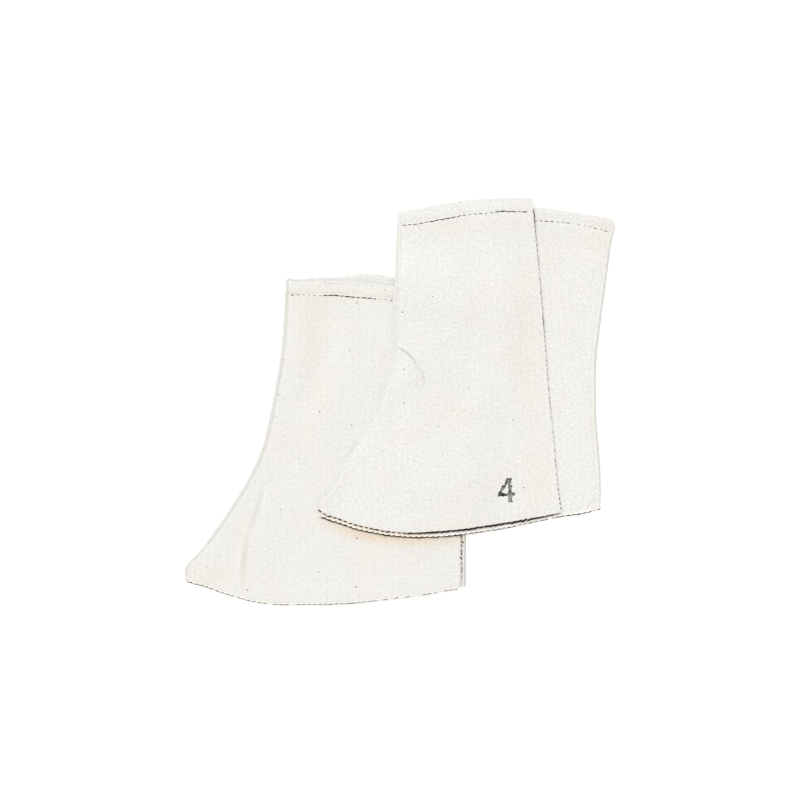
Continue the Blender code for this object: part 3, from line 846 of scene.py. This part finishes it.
def thread_lengths(kind, panel, lengths, flatness, proud, lowest, sides, kept, values):
    """Many short tubes on a panel's outer face as one mesh, which keeps a value for each of them.

    A ring's centre is the tube's middle plus its share of the length, and it stands as proud of
    the face as is given. Its two radii follow half a circle towards both ends, and its points go
    round by the angle.
    """
    middle, along, width = lengths
    count = len(middle)
    centre = middle[:, None, :] + along[:, None, :] * ALONG[:, None] * 0.5
    across = np.stack((-along[:, 1], along[:, 0]), -1)
    across = across / np.linalg.norm(across, axis=1, keepdims=True)
    taper = np.sqrt(1 - (ROUND_ENDS * ALONG) ** 2)
    thick = flatness * width
    angle = np.linspace(0.0, 2 * np.pi, sides, endpoint=False)
    wide = (width[:, None, None] / 2 * taper[:, None]) * np.cos(angle)
    high = (thick[:, None, None] / 2 * taper[:, None]) * np.sin(angle)
    flat = centre[:, :, None, :] + across[:, None, None, :] * wide[..., None]
    out = 1.0 if panel.face_up else -1.0
    level = sample(outer_faces[panel.node], centre[..., 0], centre[..., 1])
    up = np.maximum(level + out * proud, lowest)[:, :, None] + high
    points = np.concatenate((flat, up[..., None]), -1).reshape(-1, 3)
    index = np.arange(count * RINGS * sides).reshape(count, RINGS, sides)
    turned = np.roll(index, -1, axis=2)
    skin = np.stack((index[:, :-1], turned[:, :-1], turned[:, 1:], index[:, 1:]), -1)
    skin = skin[..., ::-1].reshape(-1, 4)
    half = sides // 2
    lids = []
    for k in range(half - 1):
        first = index[:, 0, [k, k + 1, sides - 2 - k, sides - 1 - k]]
        last = index[:, -1, [sides - 1 - k, sides - 2 - k, k + 1, k]]
        lids += [first, last]
    item = mesh_of(f"{kind}_{panel.node}", points, np.concatenate([skin, *lids]))
    keep_value(item, kept, np.repeat(values, RINGS * sides))
    return item


print("points of one stitch:", RINGS * STITCH_SIDES)

# %% [markdown]
# A row of stitches follows a line of the cut: below the top edge, above the lower edge or
# beside the right one. The line is worked out in the cut's millimetres, where it is nearly
# straight, and only then turned onto the table. Where a hand let the row wander, so does it.

# %% Lines that the threads follow
def along_line(points, pitch):
    """Places at an even pitch along a line of points, the line's direction and its share there."""
    steps = np.hypot(*np.diff(points, axis=0).T)
    length = np.concatenate(([0.0], np.cumsum(steps)))
    at = np.arange(pitch / 2, length[-1], pitch)
    place, ahead, behind = (
        np.stack([np.interp(at + step, length, points[:, k]) for k in (0, 1)], -1)
        for step in (0.0, 0.5, -0.5)
    )
    way = ahead - behind
    return place, way / np.linalg.norm(way, axis=1, keepdims=True), at / length[-1]


def turned_by(way, degrees):
    """Directions turned anticlockwise."""
    c, s = np.cos(np.radians(degrees)), np.sin(np.radians(degrees))
    return np.stack((way[:, 0] * c - way[:, 1] * s, way[:, 0] * s + way[:, 1] * c), -1)


def table_line(lay, distance, height):
    """A line of the cut as points on the table."""
    x, y = to_table(lay, distance, height)
    return np.stack((x - SHIFT_X, y - SHIFT_Y), -1)


HEM_ENDS = 4.0         # how far from the side edges a hem's stitches begin and end
TOP_WIDTH = 217.0      # of a cover at its top
HEM_POINTS = 240       # points along a hem line
EDGE_POINTS = 400      # and along the other lines
RIGHT_START = 2.0      # how far above the lower edge a line along the right edge begins
HEM_WANDER = {         # where a hem's stitch line wanders down, or up
    "upper_outer_front": (Pull(0.14, 0.13, 1.0), Pull(0.485, 0.04, -1.1), Pull(0.30, 0.50, 1.5)),
    "upper_outer_back": (Pull(0.84, 0.09, -2.0), Pull(0.74, 0.06, -0.8)),
    "lower_inner_half": (
        Pull(0.01, 0.02, 1.4), Pull(0.04, 0.05, -1.0), Pull(0.20, 0.40, 1.7), Pull(0.31, 0.06, 1.2),
        Pull(0.45, 0.1, 0.6),
    ),
}


def hem_line(panel, depth, wander):
    """Line that runs at a depth below a panel's top edge, and wanders from it."""
    first, last = grids[panel.node]["share"][[0, -1], -1]
    trim = HEM_ENDS / TOP_WIDTH
    share = np.linspace(first + trim, last - trim, HEM_POINTS)
    height = top_edge(panel, share) - depth - pulled(wander, share)
    return table_line(panel.lay, across_cover(panel.lay, share, height), height)


LOWER_START = {"lower_inner_half": 0.003, "upper_outer_front": 0.0005}  # where these threads begin
FIRST_TURN = 0.012     # where those of the other edges begin, as a share of the width
LAST_TURN = 0.995      # and where all of them end


def lower_line(panel, depth):
    """Line that runs at a depth above a panel's lower edge."""
    first, last = grids[panel.node]["share"][[0, -1], 0]
    start = LOWER_START.get(panel.node, FIRST_TURN)
    share = np.linspace(max(first, start), min(last, LAST_TURN), EDGE_POINTS)
    height = low_edge(panel, share) + depth
    return table_line(panel.lay, across_cover(panel.lay, share, height), height)


def right_line(panel, depth, short):
    """Line that runs up at a depth to the left of a panel's right edge, and ends short of its top."""
    grid = grids[panel.node]
    foot, head = grid["height"][-1, [0, -1]]
    height = np.linspace(foot + RIGHT_START, head - short, EDGE_POINTS)
    return table_line(panel.lay, panel.cut.right(panel.lay, height) - depth, height)


print("wandering hems:", sorted(HEM_WANDER))

# %% [markdown]
# The hem's stitches are dark brown. Some lie proud and run into one bold line, others have
# sunk between the cloth's own threads and hardly show. A short table says how bold the row is
# along each panel, and a seeded draw makes each stitch a little different.

# %% How bold the dark stitches are
Row = namedtuple("Row", "pitch slant length width loose")
HEM_ROW = Row(5.5, 0.0, 6.4, 1.2, 0.12)
BACK_ROW = Row(4.4, 24.0, 6.4, 2.0, 0.5)
FLAP_ROW = Row(4.8, -5.0, 7.2, 0.95, 0.12)
SPECK_ROW = Row(4.2, 0.0, 3.4, 0.8, 0.5)
BACK_STITCH = BEAD_STITCH + 0.3  # how far in from the back seam its edge stitch runs
BACK_SHORT = 2.0       # and how far below the top edge it ends
FLAP_STITCH = 0.6      # the same for the row along the flap's edge
FLAP_SHORT = 9.0
SPECK_DEPTH = 3.4      # how far below the top edge the row of specks runs
STITCH_THICK = 0.8     # a stitch's thickness as a share of its width
HEM_BOLD = {           # share of the line, boldness and, where it differs, how far stitches join
    "upper_outer_front": (
        (0.0, 0.3, 0.5), (0.03, 0.5, 1.0), (0.14, 0.58, 1.0), (0.27, 0.6, 1.0), (0.3, 0.72, 1.0),
        (0.42, 0.78, 1.0), (0.46, 0.6, 0.8), (0.5, 0.35, 0.4), (0.54, 0.5, 0.5), (0.62, 0.5, 0.6),
        (0.7, 0.5, 0.5), (0.74, 0.3), (0.75, 0.95, 1.0), (0.8, 0.95, 1.0), (0.82, 0.45, 0.8),
        (0.85, 0.45, 0.8), (0.87, 0.6, 1.0), (0.97, 0.62, 1.0), (1.0, 0.3),
    ),
    "upper_outer_back": (
        (0.0, 0.3), (0.36, 0.5), (0.48, 0.5), (0.51, 0.36), (0.56, 0.46), (0.61, 0.46), (0.64, 0.26),
        (0.77, 0.24), (0.79, 0.4), (0.83, 0.22), (0.87, 0.4), (0.92, 0.24), (1.0, 0.5),
    ),
    "lower_inner_half": (
        (0.0, 1.0, 0.3), (0.02, 1.0, 0.3), (0.03, 0.6, 0.3), (0.05, 0.5, 0.3), (0.07, 0.3), (0.15, 0.3),
        (0.16, 0.9, 1.0), (0.24, 0.9, 1.0), (0.255, 0.6, 0.4), (0.27, 0.8, 1.0), (0.31, 0.8, 1.0),
        (0.33, 0.6, 0.5), (0.345, 0.85, 1.0), (0.4, 0.85, 1.0), (0.42, 0.45), (1.0, 0.5),
    ),
}
BACK_BOLD = {
    "lower_inner_half": ((0.00, 0.15), (0.05, 0.25), (0.12, 0.42), (0.18, 0.50), (1.00, 0.35)),
    "upper_outer_back": ((0.00, 0.00), (1.00, 0.00)),
}
TOP_SPECKS = {
    "lower_inner_half": ((0.0, 0.0), (0.15, 0.0), (0.16, 0.42), (0.4, 0.36), (0.41, 0.0), (1.0, 0.0)),
}
# The flap's row is drawn bolder than its thread alone: it is also the painted shadow line under the flap's
# free edge.
FLAP_BOLD = (
    (0.0, 0.68, 0.2), (0.06, 0.62, 0.2), (0.09, 0.34, 0.5), (0.12, 0.28, 0.7), (0.2, 0.3, 0.7),
    (0.25, 0.18, 0.4), (0.3, 0.18, 0.4), (0.34, 0.28, 0.7), (0.5, 0.28, 0.7), (0.55, 0.32, 0.8),
    (0.6, 0.42, 0.9), (0.7, 0.42, 0.9), (0.74, 0.28, 0.7), (0.78, 0.3, 0.7), (0.81, 0.38, 0.8),
    (0.87, 0.38, 0.8), (0.9, 0.28, 0.7), (0.94, 0.4, 0.8), (0.97, 0.95), (1.0, 1.0),
)
PLAIN_BOLD = ((0.0, 0.5), (0.5, 0.35), (1.0, 0.5))
print("hems with a table of their own:", sorted(HEM_BOLD))

# %% [markdown]
# Each stitch is drawn from the table with a small seeded change, so that the row is uneven as
# hand-guided sewing is, and the same at every run. A modifier could array one stitch, but then
# all of them would be alike.

# %% Sew the dark stitches
SUNKEN = 0.08          # fainter stitches than this have sunk out of sight
CHANGES = 0.08         # how much stitches differ in boldness
TURNS = 40.0           # degrees by which a row turns its stitches, for 1 mm of looseness
draw = np.random.default_rng(17)


def stitch_row(line, row, bold):
    """A row of stitches: middle, run, width and boldness of each.

    A bold stitch is long enough to meet its neighbours, unless the table's third column says
    otherwise. A faint one is short and thin, and one that has sunk out of sight is left out.
    A loose row wanders and turns more.
    """
    place, way, share = along_line(line, row.pitch)
    shares = [each[0] for each in bold]
    change = draw.normal(0.0, CHANGES, len(place))
    amount = np.interp(share, shares, [each[1] for each in bold])
    joined = np.clip(np.interp(share, shares, [each[-1] for each in bold]) + change, 0.0, 1.0)
    amount = np.clip(amount + change * (amount > 0), 0.0, 1.0)
    turn = row.slant * amount + draw.normal(0.0, TURNS * row.loose, len(place))
    run = turned_by(way, turn) * (row.length * (0.35 + 0.65 * joined))[:, None]
    place = place + draw.normal(0.0, row.loose, place.shape)
    seen = amount > SUNKEN
    return place[seen], run[seen], (row.width * (0.45 + 0.55 * amount))[seen], amount[seen]


def dark_stitches(panel):
    """A panel's dark stitches: its hem, the back seam's edge stitch or the flap's, and specks."""
    node, cut = panel.node, panel.cut
    hem = hem_line(panel, cut.hem_stitch, HEM_WANDER.get(node, ()))
    rows = [stitch_row(hem, HEM_ROW, HEM_BOLD.get(node, PLAIN_BOLD))]
    if cut.right_sewn:
        line = right_line(panel, BACK_STITCH, BACK_SHORT)
        rows.append(stitch_row(line, BACK_ROW, BACK_BOLD.get(node, PLAIN_BOLD)))
    else:
        rows.append(stitch_row(right_line(panel, FLAP_STITCH, FLAP_SHORT), FLAP_ROW, FLAP_BOLD))
    if node in TOP_SPECKS:
        rows.append(stitch_row(hem_line(panel, SPECK_DEPTH, ()), SPECK_ROW, TOP_SPECKS[node]))
    *lengths, amount = (np.concatenate(parts) for parts in zip(*rows))
    proud = (PROUD * amount - SUNK)[:, None] - END_SINK * ALONG ** 4
    return thread_lengths(
        "stitches", panel, lengths, STITCH_THICK, proud, LOWEST, STITCH_SIDES, "faded", 1 - amount,
    )


stitches = {panel.node: dark_stitches(panel) for panel in PANELS}
count = sum(len(item.data.vertices) for item in stitches.values())
print("dark stitches:", count // (RINGS * STITCH_SIDES))

# %% [markdown]
# The raw lower edge is worked over with soft cotton thread in the cloth's own colour, so it
# looks like a thin rope with slanting turns. A dark thread lies on the rope or along its foot,
# and beneath it on the upper outer back; it is drawn bolder than thread alone, as the painted
# shadow line along the edge. Both are rows of short lengths, slanted to the edge.

# %% The rope along the lower edges
ROPE_PITCH = 5.5
ROPE_SLANT = 17.0
ROPE_TURN = 7.4        # length of one turn, so each overlaps the next
ROPE_DEPTH = 0.8       # how far in from the edge the middle of the rope lies
TURN_WIDTH = 2.5       # width of one turn
EDGE_BOLD = {          # the same for the dark thread along the edge
    "upper_outer_front": (
        (0.0, 0.35, 0.45), (0.32, 0.35, 0.45), (0.42, 0.6, 0.8), (0.45, 1.0), (0.86, 1.0),
        (0.91, 0.6, 0.95), (0.96, 0.3, 0.95), (1.0, 0.12, 0.9),
    ),
    "upper_inner_half": (
        (0.0, 0.9), (0.26, 0.85), (0.3, 0.8), (0.47, 0.75), (0.48, 1.0), (0.5, 1.0), (0.51, 0.25, 1.0),
        (0.82, 0.2, 0.95), (0.86, 0.45, 0.95), (0.96, 0.42, 0.9), (0.985, 0.12, 0.4), (1.0, 0.0, 0.2),
    ),
    "upper_outer_back": ((0.00, 0.12, 0.60), (1.00, 0.12, 0.60)),
    "lower_inner_half": (
        (0.0, 0.65, 1.0), (0.06, 0.5, 1.0), (0.14, 0.3, 0.95), (0.3, 0.14, 0.7), (1.0, 0.12, 0.6),
    ),
}
PLAIN_EDGE_BOLD = ((0.0, 0.12), (1.0, 0.12))
ROPE_WARM_TINT = {        # how much warmer the rope's colour is along the edge
    "upper_outer_front": ((0.00, 0.6), (0.06, 1.0), (0.42, 1.0), (0.53, 0.0), (1.00, 0.0)),
    "upper_inner_half": ((0.00, 0.6), (0.06, 1.0), (0.36, 1.0), (0.45, 0.0), (1.00, 0.0)),
}
UNTINTED_ROPE = ((0.0, 0.0), (1.0, 0.0))
EdgeThread = namedtuple("EdgeThread", "depth inset row")
EDGE_THREADS = {       # how far up from the edge and in from the face the dark thread lies
    "upper_outer_front": EdgeThread(0.1, 0.1, Row(ROPE_PITCH, 10.0, 7.2, 2.1, 0.1)),
    "upper_inner_half": EdgeThread(-0.7, ROPE_THICK / 2, Row(ROPE_PITCH, 9.0, 7.6, 1.9, 0.12)),
    "upper_outer_back": EdgeThread(0.6, ROPE_THICK, Row(ROPE_PITCH, 4.0, 7.8, 1.1, 0.1)),
}
# Lying outside the edge, beneath the rope, this thread also paints the shadow line under the edge.
PLAIN_THREAD = EdgeThread(-0.9, ROPE_THICK / 2, Row(ROPE_PITCH, 4.0, 7.8, 1.3, 0.1))
EDGE_THREAD_THICK = 0.6  # its thickness as a share of its width
EDGE_FADED = 0.7       # how faded its faintest stretch is


def edge_rope(panel):
    """Fat slanted lengths of cotton thread, each overlapping the next, along the lower edge."""
    place, way, share = along_line(lower_line(panel, ROPE_DEPTH), ROPE_PITCH)
    run = turned_by(way, ROPE_SLANT) * ROPE_TURN
    width = np.full(len(place), TURN_WIDTH)
    shares, tint = zip(*ROPE_WARM_TINT.get(panel.node, UNTINTED_ROPE))
    return thread_lengths(
        "edge_rope", panel, (place, run, width), ROPE_THICK / TURN_WIDTH, -ROPE_THICK / 2, ROPE_THICK / 2,
        ROPE_SIDES, "warm_tint", np.interp(share, shares, tint),
    )


def edge_thread_and_shadow_line(panel):
    """The dark thread on the rope, along its foot or beneath it, which also paints the shadow line under
    the edge.
    """
    bold = EDGE_BOLD.get(panel.node, PLAIN_EDGE_BOLD)
    own = EDGE_THREADS.get(panel.node, PLAIN_THREAD)
    *lengths, amount = stitch_row(lower_line(panel, own.depth), own.row, bold)
    return thread_lengths(
        "edge_thread_and_shadow_line", panel, lengths, EDGE_THREAD_THICK, -own.inset, ROPE_THICK / 2, STITCH_SIDES,
        "faded", EDGE_FADED * (1 - amount),
    )


ropes = {panel.node: edge_rope(panel) for panel in PANELS}
edge_threads_and_shadow_lines = {panel.node: edge_thread_and_shadow_line(panel) for panel in PANELS}
count = sum(len(item.data.vertices) for item in ropes.values())
print("turns of rope:", count // (RINGS * ROPE_SIDES))

# %% [markdown]
# Materials come next. Colours are written as a painter would pick them, as sRGB hex values,
# and one function turns them into the linear numbers that the renderer works in. One small
# function adds a node with its settings and its links, whatever kind it is.

# %% Helpers for materials
def linear(code):
    """A hex colour as linear red, green, blue and alpha."""
    parts = [int(code[k:k + 2], 16) / 255 for k in (1, 3, 5)]
    return (*[p / 12.92 if p <= 0.04045 else ((p + 0.055) / 1.055) ** 2.4 for p in parts], 1.0)


def add(tree, kind, sockets=(), **settings):
    """Adds a node, sets its properties, and fills its sockets in order, or as a dict names them.

    A socket takes a value, another node's output, or a node, of which the first output is meant.
    """
    node = tree.nodes.new(kind)
    for name, value in settings.items():
        setattr(node, name, value)
    named = sockets if isinstance(sockets, dict) else dict(enumerate(sockets))
    for socket, value in named.items():
        if isinstance(value, bpy.types.Node):
            value = value.outputs[0]
        if isinstance(value, bpy.types.NodeSocket):
            tree.links.new(value, node.inputs[socket])
        else:
            node.inputs[socket].default_value = value
    return node


def painted(tree, colour, layers):
    """Lays colours one over another on a first one, each by its own share."""
    for share, code in layers:
        sockets = {0: share, 6: colour, 7: linear(code)}
        colour = add(tree, "ShaderNodeMix", sockets, data_type="RGBA").outputs[2]
    return colour


def new_material(name, roughness, sheen):
    """A material with its shader, whose constants are set on the shader itself."""
    material = bpy.data.materials.new(name)
    material.use_nodes = True
    shader = material.node_tree.nodes["Principled BSDF"]
    shader.inputs["Roughness"].default_value = roughness
    shader.inputs["Sheen Weight"].default_value = sheen
    shader.inputs["Sheen Roughness"].default_value = 0.6
    return material, material.node_tree, shader


def per_metre(millimetres):
    """Scale of a texture whose pattern repeats over a real length."""
    return 1000.0 / millimetres


print("unbleached cotton in linear numbers:", [round(part, 3) for part in linear("#E9E9E7")])

# %% [markdown]
# Unbleached canvas, plain woven from thick cotton yarn, is matt and slightly warm. From a step
# away the eye sees a soft mottle, faint ribs where the warp bunches, brown seed flecks that
# ginning left in the cotton, and patches a shade warmer than the rest.

# %% Seed flecks and the worn numeral
FLECK_CELL = 36.0      # up to one bold seed fleck in each square of this side
SPECK_CELL = 15.0      # and one faint one in each square of this
SIZE_MARK = table(     # straight strokes of a generic numeral
    namedtuple("Stroke", "x y turn long wide"), (-86.4, 23.4, 90.0, 24.6, 4.0),
    (-90.4, 19.0, 0.0, 17.4, 3.2), (-92.3, 27.2, 55.5, 18.4, 3.2),
)
INK_EDGE = 0.3 * MM    # how far the ink takes to end


def flecks(tree, place, cell, radius, share):
    """Mask of seed flecks: small dots round the points of a Voronoi pattern, in some of its cells."""
    sockets = {"Vector": place, "Scale": per_metre(cell), "Randomness": 1.0}
    dots = add(tree, "ShaderNodeTexVoronoi", sockets, voronoi_dimensions="2D")
    pick = add(tree, "ShaderNodeSeparateColor", (dots.outputs["Color"],))
    size = add(tree, "ShaderNodeMapRange", (pick, 1.0 - share, 1.0, 0.0, radius / cell))
    near = add(tree, "ShaderNodeMath", (size, dots.outputs["Distance"]), operation="SUBTRACT")
    return add(tree, "ShaderNodeMapRange", (near, 0.0, 0.25 * radius / cell))


def ink_mask(tree, place, strokes, rough):
    """Mask of a stamped numeral: the nearest of a few straight strokes, with a worn edge."""
    nearest = None
    for stroke in strokes:
        sockets = {
            "Vector": place, "Location": (stroke.x * MM, stroke.y * MM, 0.0),
            "Rotation": (0.0, 0.0, radians(stroke.turn)),
        }
        local = add(tree, "ShaderNodeMapping", sockets, vector_type="TEXTURE")
        size = add(tree, "ShaderNodeVectorMath", (local,), operation="ABSOLUTE")
        parts = add(tree, "ShaderNodeSeparateXYZ", (size,)).outputs
        past_end, past_side = (
            add(tree, "ShaderNodeMath", (part, reach * MM / 2), operation="SUBTRACT")
            for part, reach in zip(parts, (stroke.long, stroke.wide))
        )
        away = add(tree, "ShaderNodeMath", (past_end, past_side), operation="MAXIMUM")
        if nearest:
            away = add(tree, "ShaderNodeMath", (nearest, away), operation="MINIMUM")
        nearest = away
    wear = add(tree, "ShaderNodeMapRange", (rough, 0.3, 0.75, -0.7 * MM, 1.1 * MM))
    worn = add(tree, "ShaderNodeMath", (nearest, wear), operation="ADD")
    return add(tree, "ShaderNodeMapRange", (worn, INK_EDGE, -INK_EDGE))


print("strokes of the worn numeral:", len(SIZE_MARK))

# %% [markdown]
# The canvas itself is painted layer on layer: plain cotton, warmer patches with the painted
# warm shadow under the upper cover's edge, the change of shade from mottle, ribs and grain, then
# flecks, painted shade in the creases and along the edges, and the worn numeral. The same
# patterns raise the weave a little. Each has its size from real yarn and thread.

# %% Unbleached canvas
RIB = 6.6              # distance between the faint ribs
WEAVE = 2.2            # the real yarns are 0.9 mm apart; drawn coarser so that they show
GRAIN = 2.5            # pebbly grain of the thick yarns, drawn coarser for the same reason
MOTTLE = 5.2           # size of the soft mottle
PATCH = 60.0           # size of warmer patches
BANDS_IN_ONE = 3.18    # bands that a band texture of scale 1 draws in one metre


def canvas(name, plain, warm, strength, stamped=False):
    """Matt plain-woven cotton: mottled, faintly ribbed, flecked with seed, warmer in patches."""
    material, tree, shader = new_material(name, 0.93, 0.12)
    place = add(tree, "ShaderNodeAttribute", attribute_name="cut_place").outputs["Vector"]
    warmth = add(tree, "ShaderNodeAttribute", attribute_name="warmth").outputs["Fac"]
    crease_and_edge_shade = add(tree, "ShaderNodeAttribute", attribute_name="painted_crease_and_edge_shade").outputs["Fac"]
    patch, mottle, fine = (
        add(
            tree, "ShaderNodeTexNoise",
            {"Vector": place, "Scale": per_metre(size), "Detail": detail, "Roughness": rough},
        )
        for size, detail, rough in ((PATCH, 3.0, 0.5), (MOTTLE, 2.0, 0.6), (GRAIN, 1.0, 0.5))
    )
    rib, warp, weft = (
        add(
            tree, "ShaderNodeTexWave",
            {
                "Vector": place, "Scale": per_metre(apart) / BANDS_IN_ONE, "Distortion": bend,
                "Detail": 1.0, "Detail Scale": bend_scale,
            },
            wave_type="BANDS", bands_direction=axis,
        ).outputs["Fac"]
        for apart, axis, bend, bend_scale in (
            (RIB, "X", 1.4, 0.6), (WEAVE, "X", 0.6, 1.0), (WEAVE, "Y", 0.6, 1.0),
        )
    )

    # The warm colour gives the cloth's warmer patches, and also the painted warm shadow and painted fold
    # shade that the vertices keep.
    patchy = add(tree, "ShaderNodeMapRange", (patch, 0.42, 0.68, 0.0, 0.10))
    warmer = add(tree, "ShaderNodeMath", (patchy, warmth), operation="ADD")
    warmer = add(tree, "ShaderNodeMapRange", (warmer, 0.0, 1.0))
    colour = painted(tree, linear(plain), [(warmer, warm)])
    shade = 0.0
    for change in (
        (mottle, 0.3, 0.7, -0.02, 0.02), (rib, 0.0, 1.0, -0.007, 0.007),
        (fine, 0.3, 0.7, 1 - strength, 1 + strength),
    ):
        change = add(tree, "ShaderNodeMapRange", change)
        shade = add(tree, "ShaderNodeMath", (shade, change), operation="ADD")
    grey = add(tree, "ShaderNodeCombineColor", (shade, shade, shade))
    sockets = {0: 1.0, 6: colour, 7: grey}
    colour = add(tree, "ShaderNodeMix", sockets, data_type="RGBA", blend_type="MULTIPLY").outputs[2]

    faint, bold = (
        add(tree, "ShaderNodeMath", (flecks(tree, place, *look), amount), operation="MULTIPLY")
        for look, amount in (((SPECK_CELL, 0.9, 0.6), 0.32), ((FLECK_CELL, 1.15, 0.8), 0.6))
    )
    # Painted shade in the sharp creases, along the rounded edges and beside the edge stitch.
    crease_and_edge_shade = add(tree, "ShaderNodeMapRange", (crease_and_edge_shade, 0.2, 2.0, 0.0, 0.42))
    layers = [(faint, "#8A7A66"), (bold, "#6B5D50"), (crease_and_edge_shade, "#857D7A")]
    if stamped:
        ink = ink_mask(tree, place, SIZE_MARK, fine)
        uneven = add(tree, "ShaderNodeMapRange", (mottle, 0.42, 0.62, 1.0, 0.6))
        ink = add(tree, "ShaderNodeMath", (ink, uneven), operation="MULTIPLY")
        layers.append((ink, "#1F1B1A"))
    tree.links.new(painted(tree, colour, layers), shader.inputs["Base Color"])

    weave = add(tree, "ShaderNodeMath", (warp, weft), operation="MULTIPLY")
    relief = 0.0
    for part, height in ((weave, 0.35), (rib, 0.3), (mottle, 0.9)):
        part = add(tree, "ShaderNodeMath", (part, height), operation="MULTIPLY")
        relief = add(tree, "ShaderNodeMath", (relief, part), operation="ADD")
    bump = add(tree, "ShaderNodeBump", {"Strength": 0.55, "Distance": 0.28 * MM, "Height": relief})
    tree.links.new(bump.outputs["Normal"], shader.inputs["Normal"])
    return material


OUTER_LOOK = ("#E9E9E7", "#E6DAC9", 0.065)
outer_canvas = canvas("unbleached_woven_canvas", *OUTER_LOOK)
stamped_canvas = canvas("unbleached_woven_canvas_with_worn_ink", *OUTER_LOOK, stamped=True)
inner_canvas = canvas("unbleached_woven_canvas_inner_half", "#E8E8E6", "#E8DBCA", 0.05)
print("canvas materials:", outer_canvas.name, stamped_canvas.name, inner_canvas.name)

# %% [markdown]
# Two threads remain. The dark one is spun cotton dyed brown, nearly black where it stands
# proud and faded to a pale brown where it has rubbed. The rope's thread is soft, undyed and a
# little lighter than the canvas, and a little warmer along the upper cover's toe side.

# %% Threads
def spun_thread(name, sheen, twist, relief, first, layers):
    """Spun cotton: a first colour, and others over it by what each length keeps or by its twist.

    A layer says what it goes by, its range there, the share it reaches and its colour.
    """
    material, tree, shader = new_material(name, 0.9, sheen)
    place = add(tree, "ShaderNodeTexCoord").outputs["Object"]
    sockets = {"Vector": place, "Scale": per_metre(twist[0]), "Detail": twist[1]}
    goes_by = {"twist": add(tree, "ShaderNodeTexNoise", sockets).outputs["Fac"]}
    shares = []
    for what, low, high, most, code in layers:
        if what not in goes_by:
            goes_by[what] = add(tree, "ShaderNodeAttribute", attribute_name=what).outputs["Fac"]
        share = add(tree, "ShaderNodeMapRange", (goes_by[what], low, high, 0.0, most))
        shares.append((share, code))
    tree.links.new(painted(tree, linear(first), shares), shader.inputs["Base Color"])
    sockets = {"Strength": 0.5, "Distance": relief, "Height": goes_by["twist"]}
    bump = add(tree, "ShaderNodeBump", sockets)
    tree.links.new(bump.outputs["Normal"], shader.inputs["Normal"])
    return material


brown_thread = spun_thread(
    "dark_brown_spun_thread", 0.0, (1.2, 2.0), 0.1 * MM, "#0D0907",
    (
        ("faded", 0.0, 0.4, 1.0, "#4A342A"), ("faded", 0.4, 0.95, 1.0, "#A39287"),
        ("twist", 0.4, 0.75, 0.18, "#5A4232"),
    ),
)
cream_thread = spun_thread(
    "undyed_cotton_edge_thread", 0.15, (1.6, 3.0), 0.2 * MM, "#FFFFFF",
    (("twist", 0.35, 0.7, 1.0, "#FCFAF6"), ("warm_tint", 0.0, 1.0, 0.9, "#F9F1E2")),
)
print("thread materials:", brown_thread.name, cream_thread.name)

# %% [markdown]
# Every piece rides on the frame's one body. Each cloth stands for its solid, and the stitches
# and the rope go with it.

# %% Pieces and slots
for panel in PANELS:
    cloth = cloths[panel.node]
    if panel.node == "upper_outer_front":
        cloth.data.materials.append(stamped_canvas)
    else:
        cloth.data.materials.append(inner_canvas if panel.cut is INNER_HALF else outer_canvas)
    ropes[panel.node].data.materials.append(cream_thread)
    for dark in (stitches[panel.node], edge_threads_and_shadow_lines[panel.node]):
        dark.data.materials.append(brown_thread)
    trims = [stitches[panel.node], ropes[panel.node], edge_threads_and_shadow_lines[panel.node]]
    for piece in (cloth, *trims):
        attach(piece, "root")
    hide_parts(panel.node)
print("pieces:", len(PANELS) * 4)

# %% [markdown]
# The set is plain: a pale floor lit a little from beneath, an even pale surround and one broad
# lamp above the top left corner, a little cooler than the surround, so that shadows turn warm
# as in the photograph. The camera looks straight down, and one millimetre is one pixel.

# %% Floor, light and camera
FLOOR_SIDE = 6.0
FLOOR_GLOW = 0.2       # light from beneath, as on a light table
LENS = 85.0
SENSOR = 36.0
VIEW_WIDTH = 0.8       # width of the table that the picture shows
CLOTH_LEVEL = 0.005    # height at which that width is measured
AIM = (0.00027, 0.00204)
LAMP_WIDTH = 45.0      # angle across the broad lamp, seen from the table
LAMP_STRENGTH = 1.38
SURROUND_STRENGTH = 0.74

bpy.ops.mesh.primitive_plane_add(size=FLOOR_SIDE)
floor = bpy.context.object
floor.name = "floor"
floor_paper, _, floor_shader = new_material("pale_matt_paper", 0.95, 0.0)
floor_shader.inputs["Base Color"].default_value = linear("#FBFBFB")
floor_shader.inputs["Emission Color"].default_value = linear("#FFFFFF")
floor_shader.inputs["Emission Strength"].default_value = FLOOR_GLOW
floor.data.materials.append(floor_paper)

world = bpy.data.worlds.new("pale_surround")
world.use_nodes = True
background = world.node_tree.nodes["Background"]
background.inputs["Color"].default_value = linear("#FFFBF6")
background.inputs["Strength"].default_value = SURROUND_STRENGTH
bpy.context.scene.world = world

lamp = bpy.data.lights.new("soft_lamp", "SUN")
lamp.angle = radians(LAMP_WIDTH)
lamp.energy = LAMP_STRENGTH
lamp.color = (0.97, 0.99, 1.0)
lamp_item = bpy.data.objects.new("soft_lamp", lamp)
lamp_item.location = (-1.0, 1.3, 2.6)
lamp_item.rotation_mode = "QUATERNION"
lamp_item.rotation_quaternion = (-lamp_item.location).to_track_quat("-Z", "Y")
bpy.context.scene.collection.objects.link(lamp_item)

lens = bpy.data.cameras.new("camera")
lens.lens = LENS
lens.sensor_width = SENSOR
camera = bpy.data.objects.new("camera", lens)
camera.location = (*AIM, CLOTH_LEVEL + VIEW_WIDTH * LENS / SENSOR)
bpy.context.scene.collection.objects.link(camera)
bpy.context.scene.camera = camera
bpy.context.scene.view_settings.view_transform = "Standard"
print("camera height:", round(camera.location.z, 3), "m")
